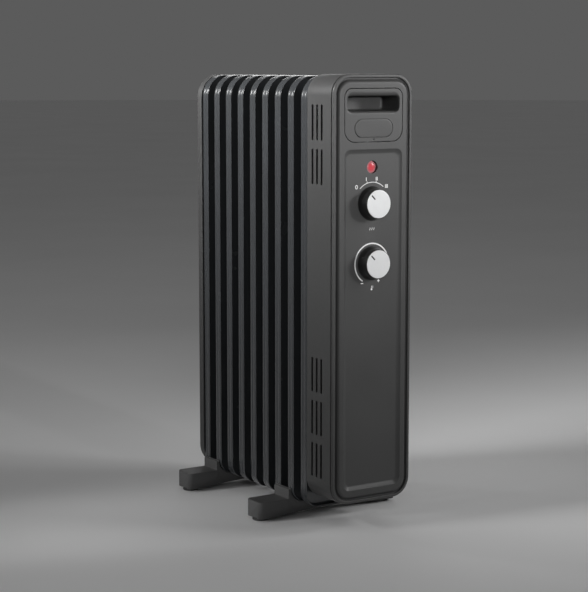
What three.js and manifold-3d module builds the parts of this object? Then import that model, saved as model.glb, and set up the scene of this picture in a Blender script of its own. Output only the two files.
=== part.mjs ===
// Oil filled column radiator with a front control panel, in millimetres.
// X runs across the body, Y from the front panel to the back, Z = 0 is the floor.
// While the pieces are built, Y = 0 is the front face of the panel's rim.
import * as THREE from "three";
import { mergeVertices } from "three/addons/utils/BufferGeometryUtils.js";
import Module from "manifold-3d";

const wasm = await Module();
wasm.setup();

// ---- driving dimensions ----
const fitGap = 0.3; // between pieces that touch
const slideGap = 0.5; // around pieces that pass through others

// body
const bodyWidth = 133;
const panelHeight = 600;
const panelBottomZ = 40;
const bodyCorner = 28;

// fins
const finCount = 9;
const finPitch = 34.6;
const finBandWidth = 15.5;
const finBandWall = 1.2;
const finSheet = 0.8; // each of the two sheets of a fin
const finTopDrop = 2.5; // below the top of the panel
const finBottomDrop = 16; // below the bottom of the panel
const finTopCorner = 32;
const finBottomCorner = 20;
const firstFinGap = 0.7; // behind the control housing
const chamberWidth = 92;
const chamberMargin = 16; // from the fin's top and bottom edges
const chamberHalfDepth = 4.5;
const chamberSlope = 4;
const chamberCorner = 20;
const headerInset = 42; // header centre from the fin's top and bottom edges
const headerRadius = 19;
const headerBore = 14;

// front panel
const rimWidth = 4.6;
const rimDepth = 3;
const grooveFloorY = 3.5;
const plateauY = -1.5;
const shoulderWidth = 3.6;
const grooveWidth = 3.2;
const panelWall = 2.5;
const shadowGap = 2.5; // between the rim and the housing
const spigotWall = 2;
const spigotDepth = 8;
const recessSideMargin = 17.8; // from the panel's sides
const recessTopGap = 9.9; // below the handle insert
const recessBottomMargin = 19.5; // above the panel's bottom
const recessSlope = 8.3;
const recessFloorY = 1.7;
const recessCorner = 10;

// handle insert and badge
const insertSideMargin = 17.9; // from the panel's sides
const insertTopMargin = 19.2; // below the panel's top
const insertHeight = 73.4;
const insertTopCorner = 12;
const insertBottomCorner = 17;
const insertSeam = 0.4;
const insertFlange = 3;
const pocketSideMargin = 5.6; // from the insert's sides
const pocketTopMargin = 7.9; // below the insert's top
const pocketHeight = 25.4;
const pocketCorner = 6;
const pocketDraft = 2.5;
const pocketWall = 2;
const pocketBackGap = 7.1; // to the filler plug behind it
const badgeSideMargin = 17; // from the insert's sides
const badgeDrop = 54.6; // its middle, below the insert's top
const badgeHeight = 24.8;
const badgeThickness = 1.4;
const badgeProud = 0.3;
const pinHoleRadius = 1.1;
const pinHoleDrop = 1.8; // below the badge

// controls
const knobPitch = 83.5;
const heatKnobDrop = 75; // below the top of the recess
const knobFaceY = -15.3;
const knobFaceRadius = 19.5;
const knobRim = 0.9; // round the cap
const knobFlare = 3.6; // from the front of a knob to its base
const knobBaseGap = 0.6;
const knobCapThickness = 1.5;
const knobWeb = 1.8;
const knobWall = 2;
const knobRimSetback = 0.6; // of the rim behind the cap's face
const knobHubSetback = 2; // of the hub in front of the knob's base
const knobHubRadius = 6;
const knobRestDegrees = -45; // from straight up, clockwise positive seen from the front
const pointerInner = 9;
const pointerOuter = 17.4;
const pointerWidth = 1;
const pointerDepth = 0.4;
const spindleRadius = 3;
const lampDrop = 25; // below the top of the recess
const lampHoleRadius = 8.8;
const lampTubeWall = 2.2;
const lensSunk = 1.9; // the dome's top below the recess floor
const lensHeight = 5.4;
const lensWall = 1.5;
const neonRadius = 2.6;
const neonLength = 12;

// control housing
const housingWall = 2.2;
const housingDepth = 59.4;
const ventWidth = 4.6;
const ventLength = 48.5;
const ventRowPitch = 61;
const ventColumnPitch = 11.45;
const ventMiddleGap = 25.2; // from the middle column to the housing's rear edge
const upperVentMargin = 41.5; // below the panel's top
const upperVentRows = 2;
const lowerVentMargin = 34.7; // above the panel's bottom
const lowerVentRows = 3;
const ventColumns = 3;
const lugReach = 12; // of the screw lugs, in from the side walls
const lugHeight = 12;
const lugThickness = 3.5;
const lugTopDrop = 75; // lug centres from the panel's top and bottom
const screwRadius = 1.8;
const screwHeadRadius = 3.6;
const screwHeadHeight = 2.2;
const screwHeadSunk = 0.4; // below the rear cover's face

// inside the housing
const plateThickness = 1.5;
const plateSetback = 1.4; // in from the housing's rear edge
const bracketY = 14;
const bracketSheet = 1.2;
const bracketWidth = 44;
const bracketMargin = 34; // below the lower spindle
const bracketTopMargin = 22; // above the upper spindle
const bracketFoot = 12;
const switchWidth = 34;
const switchHeight = 30;
const switchDepth = 28;
const thermostatWidth = 36;
const thermostatHeight = 24;
const thermostatDepth = 20;
const spindleReach = 14; // of a spindle behind the bracket
const bladeXs = [-10, 0, 10];
const bladeWidth = 6.2;
const bladeThickness = 0.8;
const bladeReach = 7;
const switchNeckWall = 1.2;
const cutoutX = -28;
const cutoutRise = 94; // above the lower header
const cutoutRadius = 8;
const cutoutDepth = 10;
const cutoutBladeX = 4;
const blockSideGap = 16.3; // from the housing's wall
const blockRise = 74; // above the lower header
const blockWidth = 40;
const blockHeight = 16;
const blockDepth = 13;
const blockWellRadius = 2.6;
const blockWellDepth = 6;
const inletSideGap = 2; // from the start of the housing's round corner
const inletY = 36;
const inletRadius = 8;
const inletFlange = 10.5;
const inletFlangeHeight = 2.6;
const inletBore = 3.6;

// heating element in the lower header
const elementRadius = 4;
const elementHalfSpacing = 7;
const elementEndGap = 50.15; // from the start of the far bend to the last fin's middle
const elementLegReach = 3; // of the legs in front of their flange
const flangeRadius = 22;
const flangeThickness = 2;
const terminalRadius = 1.6;
const terminalReach = 10;
const capRadius = 17;
const fillerHexRadius = 7;
const fillerHeight = 5;

// rear cover
const coverExtra = 1.8; // wider than the fins on each side
const coverGap = 1.1;
const coverClearance = 2.6; // behind the header caps
const coverWall = 2;
const coverEdge = 4;
const coverTopCorner = 34;
const coverBottomCorner = 34;
const coverTopDrop = 2.5; // below the top of the panel
const coverBottomLift = 2; // above the fins' bottom edge
const coverScrewInset = 150; // from the cover's top and bottom
const coverBossRadius = 6;

// feet
const footSpan = 240;
const footWidth = 39;
const footCorner = 8;
const footBottomZ = 4.5;
const footTopZ = 29;
const footArch = 5.5;
const footArchHalfSpan = 92;
const footWall = 3;
const footDeck = 6.5; // under the fins
const cradleTopZ = 43;
const cradleWall = 4;
const cradleClearance = 0.6;
const footGapIndexes = { front: 1.5, rear: 7.5 }; // fin positions, counted from the first
const padInset = 13;
const padRadius = 12;
const padChamfer = 1;
const padStemRadius = 3;
const padStemLength = 11;
const padBossRadius = 9;
const boltRadius = 2.5;
const boltLoopGap = 0.6;
const boltEndZ = 9;
const nutRadius = 5.5;
const nutHeight = 7;
const wingLength = 9;
const wingThickness = 2.5;

// smoothness: an arc of a quarter turn takes twice this many steps
const cornerSteps = 3;
const finCornerSteps = 2;
const chamberSteps = 1;
const turnedSides = 20;
const pipeSides = 12;
const smallSides = 12;
const rodSides = 8;

// ---- places that follow from them ----
const halfWidth = bodyWidth / 2;
const panelTopZ = panelBottomZ + panelHeight;
const housingFrontY = rimDepth + shadowGap;
const housingBackY = housingFrontY + housingDepth;
const finTopZ = panelTopZ - finTopDrop;
const finBottomZ = panelBottomZ - finBottomDrop;
const firstFinY = housingBackY + firstFinGap + finBandWidth / 2;
const lastFinY = firstFinY + finPitch * (finCount - 1);
const upperHeaderZ = finTopZ - headerInset;
const lowerHeaderZ = finBottomZ + headerInset;
const headerHalfLength = (finPitch - fitGap) / 2;
const headerFrontY = firstFinY - headerHalfLength;
const headerBackY = lastFinY + headerHalfLength;
const elementEndY = lastFinY - elementEndGap;
const plateauInset = rimWidth + grooveWidth;
const insertTopZ = panelTopZ - insertTopMargin;
const insertBottomZ = insertTopZ - insertHeight;
const insertHalfWidth = halfWidth - insertSideMargin;
const badgeZ = insertTopZ - badgeDrop;
const pinHoleZ = badgeZ - badgeHeight / 2 - pinHoleDrop;
const recessTopZ = insertBottomZ - recessTopGap;
const recessFloorBackY = recessFloorY + panelWall;
const lampZ = recessTopZ - lampDrop;
const heatKnobZ = recessTopZ - heatKnobDrop;
const thermostatKnobZ = heatKnobZ - knobPitch;
const knobFrontRadius = knobFaceRadius + knobRim;
const knobBaseRadius = knobFrontRadius + knobFlare;
const fillerBackY = headerFrontY - 2 * fitGap - flangeThickness;
const fillerFrontY = fillerBackY - fillerHeight;
const pocketBackY = fillerFrontY - pocketBackGap - pocketWall;
const plateBackY = housingBackY - plateSetback;
const plateFrontY = plateBackY - plateThickness;
const bracketBackY = bracketY + bracketSheet;
const ventMiddleY = housingBackY - ventMiddleGap;
const lugZs = [panelTopZ - lugTopDrop, panelBottomZ + lugTopDrop];
const lugX = halfWidth - housingWall - lugReach / 2;
const blockX = halfWidth - housingWall - blockSideGap - blockWidth / 2;
const inletX = halfWidth - bodyCorner - inletSideGap - inletFlange;
const coverFrontY = lastFinY + finBandWidth / 2 + coverGap;
const coverBackY = headerBackY + fitGap + flangeThickness + coverClearance + coverWall;
const coverTopZ = panelTopZ - coverTopDrop;
const coverBottomZ = finBottomZ + coverBottomLift;
const coverScrewZs = [coverTopZ - coverScrewInset, coverBottomZ + coverScrewInset];
const coverHeadY = coverBackY - screwHeadHeight - screwHeadSunk; // the screw heads' undersides
const deckTopZ = finBottomZ - cradleClearance;
const deckBottomZ = deckTopZ - footDeck;
const padX = footSpan / 2 - padInset;
const padTopZ = footBottomZ - fitGap;
const boltLoopRadius = headerRadius + boltRadius + boltLoopGap;

// ---- shape helpers ----

// A closed three.js geometry as a manifold-3d solid.
function solidOf(geometry) {
  const plain = geometry.clone();
  plain.deleteAttribute("normal");
  plain.deleteAttribute("uv");
  const merged = mergeVertices(plain, 1e-4);
  return new wasm.Manifold(
    new wasm.Mesh({
      numProp: 3,
      vertProperties: merged.attributes.position.array,
      triVerts: new Uint32Array(merged.index.array),
    }),
  );
}

// A manifold-3d solid as a three.js geometry.
function geometryOf(solid) {
  const mesh = solid.getMesh();
  const geometry = new THREE.BufferGeometry();
  geometry.setAttribute("position", new THREE.BufferAttribute(mesh.vertProperties, 3));
  geometry.setIndex(new THREE.BufferAttribute(mesh.triVerts, 1));
  return geometry;
}

// The sum of several solids.
function joined(...solids) {
  return solids.reduce((sum, solid) => sum.add(solid));
}

// A rectangle with round corners, with its own radius for the lower pair and the upper pair.
function roundedShape(left, right, bottom, top, lowerRadius, upperRadius = lowerRadius) {
  const quarter = Math.PI / 2;
  const shape = new THREE.Shape();
  shape.moveTo(left + lowerRadius, bottom);
  shape.absarc(right - lowerRadius, bottom + lowerRadius, lowerRadius, -quarter, 0, false);
  shape.absarc(right - upperRadius, top - upperRadius, upperRadius, 0, quarter, false);
  shape.absarc(left + upperRadius, top - upperRadius, upperRadius, quarter, 2 * quarter, false);
  shape.absarc(left + lowerRadius, bottom + lowerRadius, lowerRadius, 2 * quarter, 3 * quarter, false);
  return shape;
}

// The outline of the body, the panel and the housing, drawn in by an inset.
function bodyShape(inset) {
  const half = halfWidth - inset;
  return roundedShape(-half, half, panelBottomZ + inset, panelTopZ - inset, bodyCorner - inset);
}

// The outline of a fin, drawn in by an inset (or grown by a negative one).
function finShape(inset) {
  const half = halfWidth - inset;
  return roundedShape(
    -half,
    half,
    finBottomZ + inset,
    finTopZ - inset,
    finBottomCorner - inset,
    finTopCorner - inset,
  );
}

// A solid that runs along Y through sections [shape, y], listed from front to back.
// The shapes are drawn in X and Z, and all have the same number of points.
function loft(sections, curveSegments = cornerSteps) {
  const rings = sections.map(([shape]) => shape.getPoints(curveSegments).slice(0, -1));
  const count = rings[0].length;
  const positions = rings.flatMap((ring, level) =>
    ring.flatMap((point) => [point.x, sections[level][1], point.y]),
  );
  const cap = THREE.ShapeUtils.triangulateShape(rings[0], []);
  const backCap = THREE.ShapeUtils.triangulateShape(rings.at(-1), []);
  const last = (rings.length - 1) * count;
  const faces = [
    ...cap.flat(),
    ...backCap.flatMap(([a, b, c]) => [last + a, last + c, last + b]),
  ];
  for (let level = 0; level < rings.length - 1; level++) {
    for (let i = 0; i < count; i++) {
      const here = level * count + i;
      const next = level * count + ((i + 1) % count);
      faces.push(next, here, here + count);
      faces.push(next, here + count, next + count);
    }
  }
  const geometry = new THREE.BufferGeometry();
  geometry.setAttribute("position", new THREE.Float32BufferAttribute(positions, 3));
  geometry.setIndex(faces);
  return solidOf(geometry);
}

// A shape drawn in X and Z, extruded along Y.
function slab(shape, frontY, backY, curveSegments = cornerSteps) {
  const geometry = new THREE.ExtrudeGeometry(shape, {
    depth: backY - frontY,
    bevelEnabled: false,
    curveSegments,
  });
  geometry.rotateX(Math.PI / 2);
  geometry.translate(0, backY, 0);
  return solidOf(geometry);
}

// A shape drawn in X and Y, extruded along Z.
function upright(shape, bottomZ, topZ) {
  const geometry = new THREE.ExtrudeGeometry(shape, {
    depth: topZ - bottomZ,
    bevelEnabled: false,
    curveSegments: finCornerSteps,
  });
  geometry.translate(0, 0, bottomZ);
  return solidOf(geometry);
}

// A closed profile of [radius, height] pairs, turned about the Y axis.
function turned(profile, sides = turnedSides) {
  const points = profile.map(([radius, height]) => new THREE.Vector2(radius, height));
  return new THREE.LatheGeometry(points, sides);
}

// The same, turned about the Z axis.
function turnedUpright(profile, sides = turnedSides) {
  return turned(profile, sides).rotateX(Math.PI / 2);
}

// A round bar along Y.
function rodAlongY(radius, frontY, backY, x, z, sides = smallSides) {
  const geometry = new THREE.CylinderGeometry(radius, radius, backY - frontY, sides);
  geometry.translate(x, (frontY + backY) / 2, z);
  return solidOf(geometry);
}

// A round bar along Z.
function rodAlongZ(radius, bottomZ, topZ, x, y, sides = smallSides) {
  const geometry = new THREE.CylinderGeometry(radius, radius, topZ - bottomZ, sides);
  geometry.rotateX(Math.PI / 2);
  geometry.translate(x, y, (bottomZ + topZ) / 2);
  return solidOf(geometry);
}

// A box between two corners.
function block(lowX, highX, lowY, highY, lowZ, highZ) {
  const geometry = new THREE.BoxGeometry(highX - lowX, highY - lowY, highZ - lowZ);
  geometry.translate((lowX + highX) / 2, (lowY + highY) / 2, (lowZ + highZ) / 2);
  return solidOf(geometry);
}

// The part of a round rod's ring that lies in the block kept. The ring lies in X and Y, turned about X.
function partRing(ringRadius, rodRadius, turn, kept, ringSteps) {
  const geometry = new THREE.TorusGeometry(ringRadius, rodRadius, rodSides, ringSteps);
  geometry.rotateX(turn);
  return solidOf(geometry).intersect(kept);
}

// ---- finishes ----
const finishes = {
  housingPlastic: { color: 0x3a3b3c, roughness: 0.5, metalness: 0 },
  panelPlastic: { color: 0x3f4041, roughness: 0.48, metalness: 0 },
  badgePlastic: { color: 0x45474a, roughness: 0.4, metalness: 0 },
  finEnamel: { color: 0x141516, roughness: 0.22, metalness: 0.1 },
  footPlastic: { color: 0x2c2c2d, roughness: 0.6, metalness: 0 },
  knobPlastic: { color: 0x121314, roughness: 0.35, metalness: 0 },
  knobSilver: { color: 0xdcdddf, roughness: 0.3, metalness: 0.3 },
  lensRed: { color: 0xc02a3c, roughness: 0.15, metalness: 0 },
  glass: { color: 0xe8dccf, roughness: 0.1, metalness: 0 },
  zincSteel: { color: 0xb4b8bc, roughness: 0.4, metalness: 0.9 },
  brass: { color: 0xb8954f, roughness: 0.35, metalness: 0.9 },
  switchPlastic: { color: 0xe6e1d4, roughness: 0.55, metalness: 0 },
  rubber: { color: 0x161616, roughness: 0.85, metalness: 0 },
};

// A named mesh with a material of its own, from a solid or a three.js geometry.
function piece(name, shape, finish) {
  const geometry = shape.isBufferGeometry ? shape : geometryOf(shape);
  const mesh = new THREE.Mesh(geometry, new THREE.MeshStandardMaterial(finishes[finish]));
  mesh.name = name;
  return mesh;
}

// ---- front panel ----

// A moulded face: outer rim, groove, raised plateau, sloped recess, and a spigot behind.
function frontPanel() {
  const plateauBackY = plateauY + panelWall;
  const grooveBackY = grooveFloorY + panelWall;
  const rim = slab(bodyShape(0), 0, rimDepth);
  const spigotInset = housingWall + slideGap;
  const base = slab(bodyShape(spigotInset), 0, grooveBackY);
  const spigot = slab(bodyShape(spigotInset), 0, housingFrontY + spigotDepth).subtract(
    slab(bodyShape(spigotInset + spigotWall), -1, housingFrontY + spigotDepth + 1),
  );
  const groove = slab(bodyShape(rimWidth), -1, grooveFloorY);
  const plateau = loft([
    [bodyShape(plateauInset + shoulderWidth), plateauY],
    [bodyShape(plateauInset + shoulderWidth / 3), plateauY + panelWall / 2],
    [bodyShape(plateauInset), grooveFloorY],
    [bodyShape(plateauInset), grooveBackY],
  ]);
  const backHollow = slab(
    bodyShape(plateauInset + shoulderWidth + panelWall),
    plateauBackY,
    grooveBackY + 1,
  );
  const tray = slab(recessShape(-panelWall), plateauBackY - 0.2, recessFloorBackY);
  const recess = loft([
    [recessShape(0), plateauY - 1],
    [recessShape(0), plateauY],
    [recessShape(recessSlope), recessFloorY],
  ]);
  const lampTube = rodAlongY(
    lampHoleRadius + lampTubeWall,
    recessFloorY + panelWall / 2,
    recessFloorBackY + lensHeight,
    0,
    lampZ,
    turnedSides,
  );
  const holes = joined(
    rodAlongY(lampHoleRadius, -1, recessFloorBackY + lensHeight + 1, 0, lampZ, turnedSides),
    ...[heatKnobZ, thermostatKnobZ].map((z) =>
      rodAlongY(spindleRadius + 2, -1, recessFloorBackY + 1, 0, z, smallSides),
    ),
    slab(insertShape(-insertSeam), plateauY - 1, grooveBackY),
  );
  return joined(rim, base, spigot)
    .subtract(groove)
    .add(plateau)
    .subtract(backHollow)
    .add(tray)
    .subtract(recess)
    .add(lampTube)
    .subtract(holes);
}

// The large recess, drawn in by an inset.
function recessShape(inset) {
  const half = halfWidth - recessSideMargin - inset;
  const bottom = panelBottomZ + recessBottomMargin + inset;
  return roundedShape(-half, half, bottom, recessTopZ - inset, recessCorner - inset / 2);
}

// The outline of the handle insert, drawn in by an inset.
function insertShape(inset) {
  const half = insertHalfWidth - inset;
  return roundedShape(
    -half,
    half,
    insertBottomZ + inset,
    insertTopZ - inset,
    insertBottomCorner - inset,
    insertTopCorner - inset,
  );
}

// The mouth of the finger pocket, drawn in by an inset.
function pocketShape(inset) {
  const half = insertHalfWidth - pocketSideMargin - inset;
  const top = insertTopZ - pocketTopMargin - inset;
  const bottom = insertTopZ - pocketTopMargin - pocketHeight + inset;
  return roundedShape(-half, half, bottom, top, pocketCorner - inset / 2);
}

// The oval of the badge, drawn in by an inset.
function badgeShape(inset) {
  const half = insertHalfWidth - badgeSideMargin - inset;
  const rise = badgeHeight / 2 - inset;
  return roundedShape(-half, half, badgeZ - rise, badgeZ + rise, rise - 0.01);
}

// A face plate with a deep finger pocket, held from behind by its flange.
function handleInsert() {
  const faceBackY = plateauY + panelWall;
  const face = slab(insertShape(insertSeam), plateauY, faceBackY + fitGap + 0.1);
  const flange = slab(insertShape(-insertFlange), faceBackY + fitGap, faceBackY + fitGap + pocketWall);
  const cup = loft([
    [pocketShape(-pocketWall), faceBackY],
    [pocketShape(pocketDraft - pocketWall), pocketBackY + pocketWall],
  ]);
  const hollow = loft([
    [pocketShape(-1), plateauY - 1],
    [pocketShape(-1), plateauY],
    [pocketShape(0.5), plateauY + 2],
    [pocketShape(pocketDraft), pocketBackY],
  ]);
  const badgeBackY = plateauY - badgeProud + badgeThickness;
  const badgeSeat = slab(badgeShape(-insertSeam), plateauY - 1, badgeBackY + fitGap);
  const pinHole = rodAlongY(pinHoleRadius, plateauY - 1, faceBackY + pocketWall + 2, 0, pinHoleZ, 8);
  return joined(face, flange, cup).subtract(hollow).subtract(badgeSeat).subtract(pinHole);
}

// A blank oval that sits a little proud of the insert.
function badgePad() {
  const frontY = plateauY - badgeProud;
  return loft([
    [badgeShape(0.5), frontY],
    [badgeShape(0), frontY + 0.5],
    [badgeShape(0), frontY + badgeThickness],
  ]);
}

// ---- knobs, lamp and the parts behind them ----

// A tapered knob with a seat for its cap and a hub for its spindle.
function knobBody() {
  const capSeatY = knobFaceY + knobCapThickness + fitGap;
  const webBackY = capSeatY + knobWeb;
  const baseY = recessFloorY - knobBaseGap;
  const rimY = knobFaceY + knobRimSetback;
  const hubBackY = baseY - knobHubSetback;
  return turned([
    [0, capSeatY],
    [knobFaceRadius + fitGap, capSeatY],
    [knobFaceRadius + fitGap, rimY],
    [knobFrontRadius, rimY],
    [knobFrontRadius + 0.6, rimY + 1],
    [knobBaseRadius, baseY],
    [knobBaseRadius - knobWall, baseY],
    [knobFrontRadius - knobWall, webBackY],
    [knobHubRadius, webBackY],
    [knobHubRadius, hubBackY],
    [spindleRadius + fitGap, hubBackY],
    [spindleRadius + fitGap, webBackY - 0.5],
    [0, webBackY - 0.5],
  ]);
}

// A flat disc with a pointer line cut into its face, pointing up.
function knobCap() {
  const disc = solidOf(
    turned([
      [0, knobFaceY],
      [knobFaceRadius - 0.5, knobFaceY],
      [knobFaceRadius, knobFaceY + 0.5],
      [knobFaceRadius, knobFaceY + knobCapThickness],
      [0, knobFaceY + knobCapThickness],
    ]),
  );
  const pointer = block(
    -pointerWidth / 2,
    pointerWidth / 2,
    knobFaceY - 1,
    knobFaceY + pointerDepth,
    pointerInner,
    pointerOuter,
  );
  return disc.subtract(pointer);
}

// A plain round spindle from inside the knob's hub to inside the switch.
function spindle() {
  const frontY = knobFaceY + knobCapThickness + knobWeb + fitGap;
  return turned(
    [
      [0, frontY],
      [spindleRadius, frontY],
      [spindleRadius, bracketBackY + spindleReach],
      [0, bracketBackY + spindleReach],
    ],
    smallSides,
  );
}

// A box body behind the bracket with a neck through it, a bore for the spindle, and blades behind.
function controlBody(width, height, depth) {
  const frontY = bracketBackY + fitGap;
  const backY = frontY + depth;
  const box = slab(roundedShape(-width / 2, width / 2, -height / 2, height / 2, 2), frontY, backY, 1);
  const neck = rodAlongY(spindleRadius + slideGap + switchNeckWall, bracketY - 2, frontY + 1, 0, 0);
  const bore = rodAlongY(spindleRadius + slideGap, 0, bracketBackY + spindleReach + 1, 0, 0, smallSides);
  const blades = bladeXs.map((x) =>
    block(
      x - bladeWidth / 2,
      x + bladeWidth / 2,
      backY - 1,
      backY + bladeReach,
      -bladeThickness / 2,
      bladeThickness / 2,
    ),
  );
  return joined(box, neck, ...blades).subtract(bore);
}

// A domed cap, open behind.
function indicatorLens() {
  const topY = recessFloorY + lensSunk;
  const backY = topY + lensHeight;
  const edge = lampHoleRadius - fitGap;
  return turned([
    [0, topY],
    [edge * 0.5, topY + 0.3],
    [edge * 0.85, topY + 1],
    [edge, topY + 2],
    [edge, backY],
    [edge - lensWall, backY],
    [edge - lensWall, topY + 2.4],
    [edge * 0.5, topY + 1.8],
    [0, topY + 1.6],
  ]);
}

// A ring that holds the neon lamp behind the lens.
function lampHolder() {
  const frontY = recessFloorBackY + lensHeight + fitGap;
  return turned([
    [neonRadius + fitGap, frontY],
    [lampHoleRadius + lampTubeWall, frontY],
    [lampHoleRadius + lampTubeWall, frontY + 2],
    [lampHoleRadius - 2, frontY + 2],
    [neonRadius + 1.8, frontY + 7],
    [neonRadius + fitGap, frontY + 7],
    [neonRadius + fitGap, frontY],
  ]);
}

// A small glass bulb with a round tip.
function neonLamp() {
  const tipY = recessFloorY + lensSunk + 2.6;
  return turned(
    [
      [0, tipY],
      [neonRadius * 0.7, tipY + 0.7],
      [neonRadius, tipY + 2.2],
      [neonRadius, tipY + neonLength],
      [0, tipY + neonLength],
    ],
    smallSides,
  );
}

// A bent sheet: a web behind the panel, two legs, and feet against the mounting plate.
function controlBracket() {
  const lowZ = thermostatKnobZ - bracketMargin;
  const highZ = heatKnobZ + bracketTopMargin;
  const footBackY = plateFrontY - fitGap;
  const section = new THREE.Shape(
    [
      [footBackY, lowZ - bracketFoot],
      [footBackY, lowZ + bracketSheet],
      [bracketBackY, lowZ + bracketSheet],
      [bracketBackY, highZ - bracketSheet],
      [footBackY, highZ - bracketSheet],
      [footBackY, highZ + bracketFoot],
      [footBackY - bracketSheet, highZ + bracketFoot],
      [footBackY - bracketSheet, highZ],
      [bracketY, highZ],
      [bracketY, lowZ],
      [footBackY - bracketSheet, lowZ],
      [footBackY - bracketSheet, lowZ - bracketFoot],
    ].map(([y, z]) => new THREE.Vector2(y, z)),
  );
  const geometry = new THREE.ExtrudeGeometry(section, { depth: bracketWidth, bevelEnabled: false });
  // the section's own x becomes Y, its y becomes Z, and the extrusion runs along X
  geometry.applyMatrix4(new THREE.Matrix4().set(0, 0, 1, 0, 1, 0, 0, 0, 0, 1, 0, 0, 0, 0, 0, 1));
  geometry.translate(-bracketWidth / 2, 0, 0);
  const holes = [heatKnobZ, thermostatKnobZ].map((z) =>
    rodAlongY(
      spindleRadius + 2 * slideGap + switchNeckWall,
      bracketY - 1,
      bracketBackY + 1,
      0,
      z,
    ),
  );
  return solidOf(geometry).subtract(joined(...holes));
}

// ---- control housing and what it holds ----

// A deep rounded shell with vent slots in both sides, screw lugs, and a hole for the cord inlet.
function controlHousing() {
  const shell = slab(bodyShape(0), housingFrontY, housingBackY).subtract(
    slab(bodyShape(housingWall), housingFrontY - 1, housingBackY + 1),
  );
  const lugBackY = plateFrontY - fitGap;
  const lugs = lugZs.flatMap((z) =>
    [-1, 1].map((side) => {
      const outer = side * (halfWidth - housingWall / 2);
      const inner = side * (halfWidth - housingWall - lugReach);
      return block(
        Math.min(outer, inner),
        Math.max(outer, inner),
        lugBackY - lugThickness,
        lugBackY,
        z - lugHeight / 2,
        z + lugHeight / 2,
      );
    }),
  );
  const lugHoles = lugZs.flatMap((z) =>
    [-1, 1].map((side) =>
      rodAlongY(screwRadius + slideGap, lugBackY - lugThickness - 1, lugBackY + 1, side * lugX, z, 8),
    ),
  );
  const inletHole = rodAlongZ(
    inletRadius + slideGap,
    panelBottomZ - 1,
    panelBottomZ + housingWall + 1,
    inletX,
    inletY,
    turnedSides,
  );
  return joined(shell, ...lugs).subtract(joined(...lugHoles, ...ventCuts(), inletHole));
}

// One cutter per slot position, running right across the body through both sides.
function ventCuts() {
  const highestTop = panelTopZ - upperVentMargin;
  const lowestTop = panelBottomZ + lowerVentMargin + ventLength;
  const tops = [
    ...Array.from({ length: upperVentRows }, (_, row) => highestTop - row * ventRowPitch),
    ...Array.from({ length: lowerVentRows }, (_, row) => lowestTop + row * ventRowPitch),
  ];
  const columns = Array.from(
    { length: ventColumns },
    (_, column) => ventMiddleY + (column - (ventColumns - 1) / 2) * ventColumnPitch,
  );
  return tops.flatMap((top) =>
    columns.map((y) =>
      block(
        -halfWidth - 1,
        halfWidth + 1,
        y - ventWidth / 2,
        y + ventWidth / 2,
        top - ventLength,
        top,
      ),
    ),
  );
}

// A steel sheet across the back of the housing, with openings for the two headers.
function mountingPlate() {
  const sheet = slab(bodyShape(housingWall + slideGap), plateFrontY, plateBackY);
  const headerHoles = [upperHeaderZ, lowerHeaderZ].map((z) =>
    rodAlongY(headerRadius + slideGap, plateFrontY - 1, plateBackY + 1, 0, z, pipeSides),
  );
  const screwHoles = lugZs.flatMap((z) =>
    [-1, 1].map((side) =>
      rodAlongY(screwRadius + fitGap, plateFrontY - 1, plateBackY + 1, side * lugX, z, 8),
    ),
  );
  return sheet.subtract(joined(...headerHoles, ...screwHoles));
}

// A pan-head screw along Y. Its head's underside is at Y = 0 and its point is towards +Y.
function screw(length) {
  return turned(
    [
      [0, -screwHeadHeight],
      [screwHeadRadius * 0.7, -screwHeadHeight],
      [screwHeadRadius, -screwHeadHeight * 0.4],
      [screwHeadRadius, 0],
      [screwRadius, 0],
      [screwRadius, length],
      [0, length],
    ],
    8,
  );
}

// A snap-in disc thermostat with two blade terminals.
function thermalCutout() {
  const backY = plateFrontY - fitGap;
  const can = rodAlongY(cutoutRadius, backY - cutoutDepth, backY, 0, 0, 16);
  const blades = [-1, 1].map((side) =>
    block(
      side * cutoutBladeX - bladeThickness / 2,
      side * cutoutBladeX + bladeThickness / 2,
      backY - cutoutDepth - bladeReach,
      backY - cutoutDepth + 1,
      -bladeWidth / 2,
      bladeWidth / 2,
    ),
  );
  return joined(can, ...blades);
}

// A row of three clamp positions on a plastic block.
function terminalBlock() {
  const backY = plateFrontY - fitGap;
  const frontY = backY - blockDepth;
  const base = block(-blockWidth / 2, blockWidth / 2, frontY, backY, -blockHeight / 2, blockHeight / 2);
  const wells = [-1, 0, 1].map((place) =>
    rodAlongY(blockWellRadius, frontY - 1, frontY + blockWellDepth, (place * blockWidth) / 3, 0, 8),
  );
  return base.subtract(joined(...wells));
}

// A bush through the housing's floor, with a flange below it and a lip above it.
function cordInlet() {
  const wallBottom = panelBottomZ - fitGap;
  const wallTop = panelBottomZ + housingWall + fitGap;
  return turnedUpright(
    [
      [inletBore, wallBottom - inletFlangeHeight],
      [inletFlange - 1, wallBottom - inletFlangeHeight],
      [inletFlange, wallBottom - 1],
      [inletFlange, wallBottom],
      [inletRadius, wallBottom],
      [inletRadius, wallTop],
      [inletRadius + 1.6, wallTop],
      [inletRadius, wallTop + 4],
      [inletBore, wallTop + 4],
      [inletBore, wallBottom - inletFlangeHeight],
    ],
    16,
  );
}

// ---- fins ----

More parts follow.
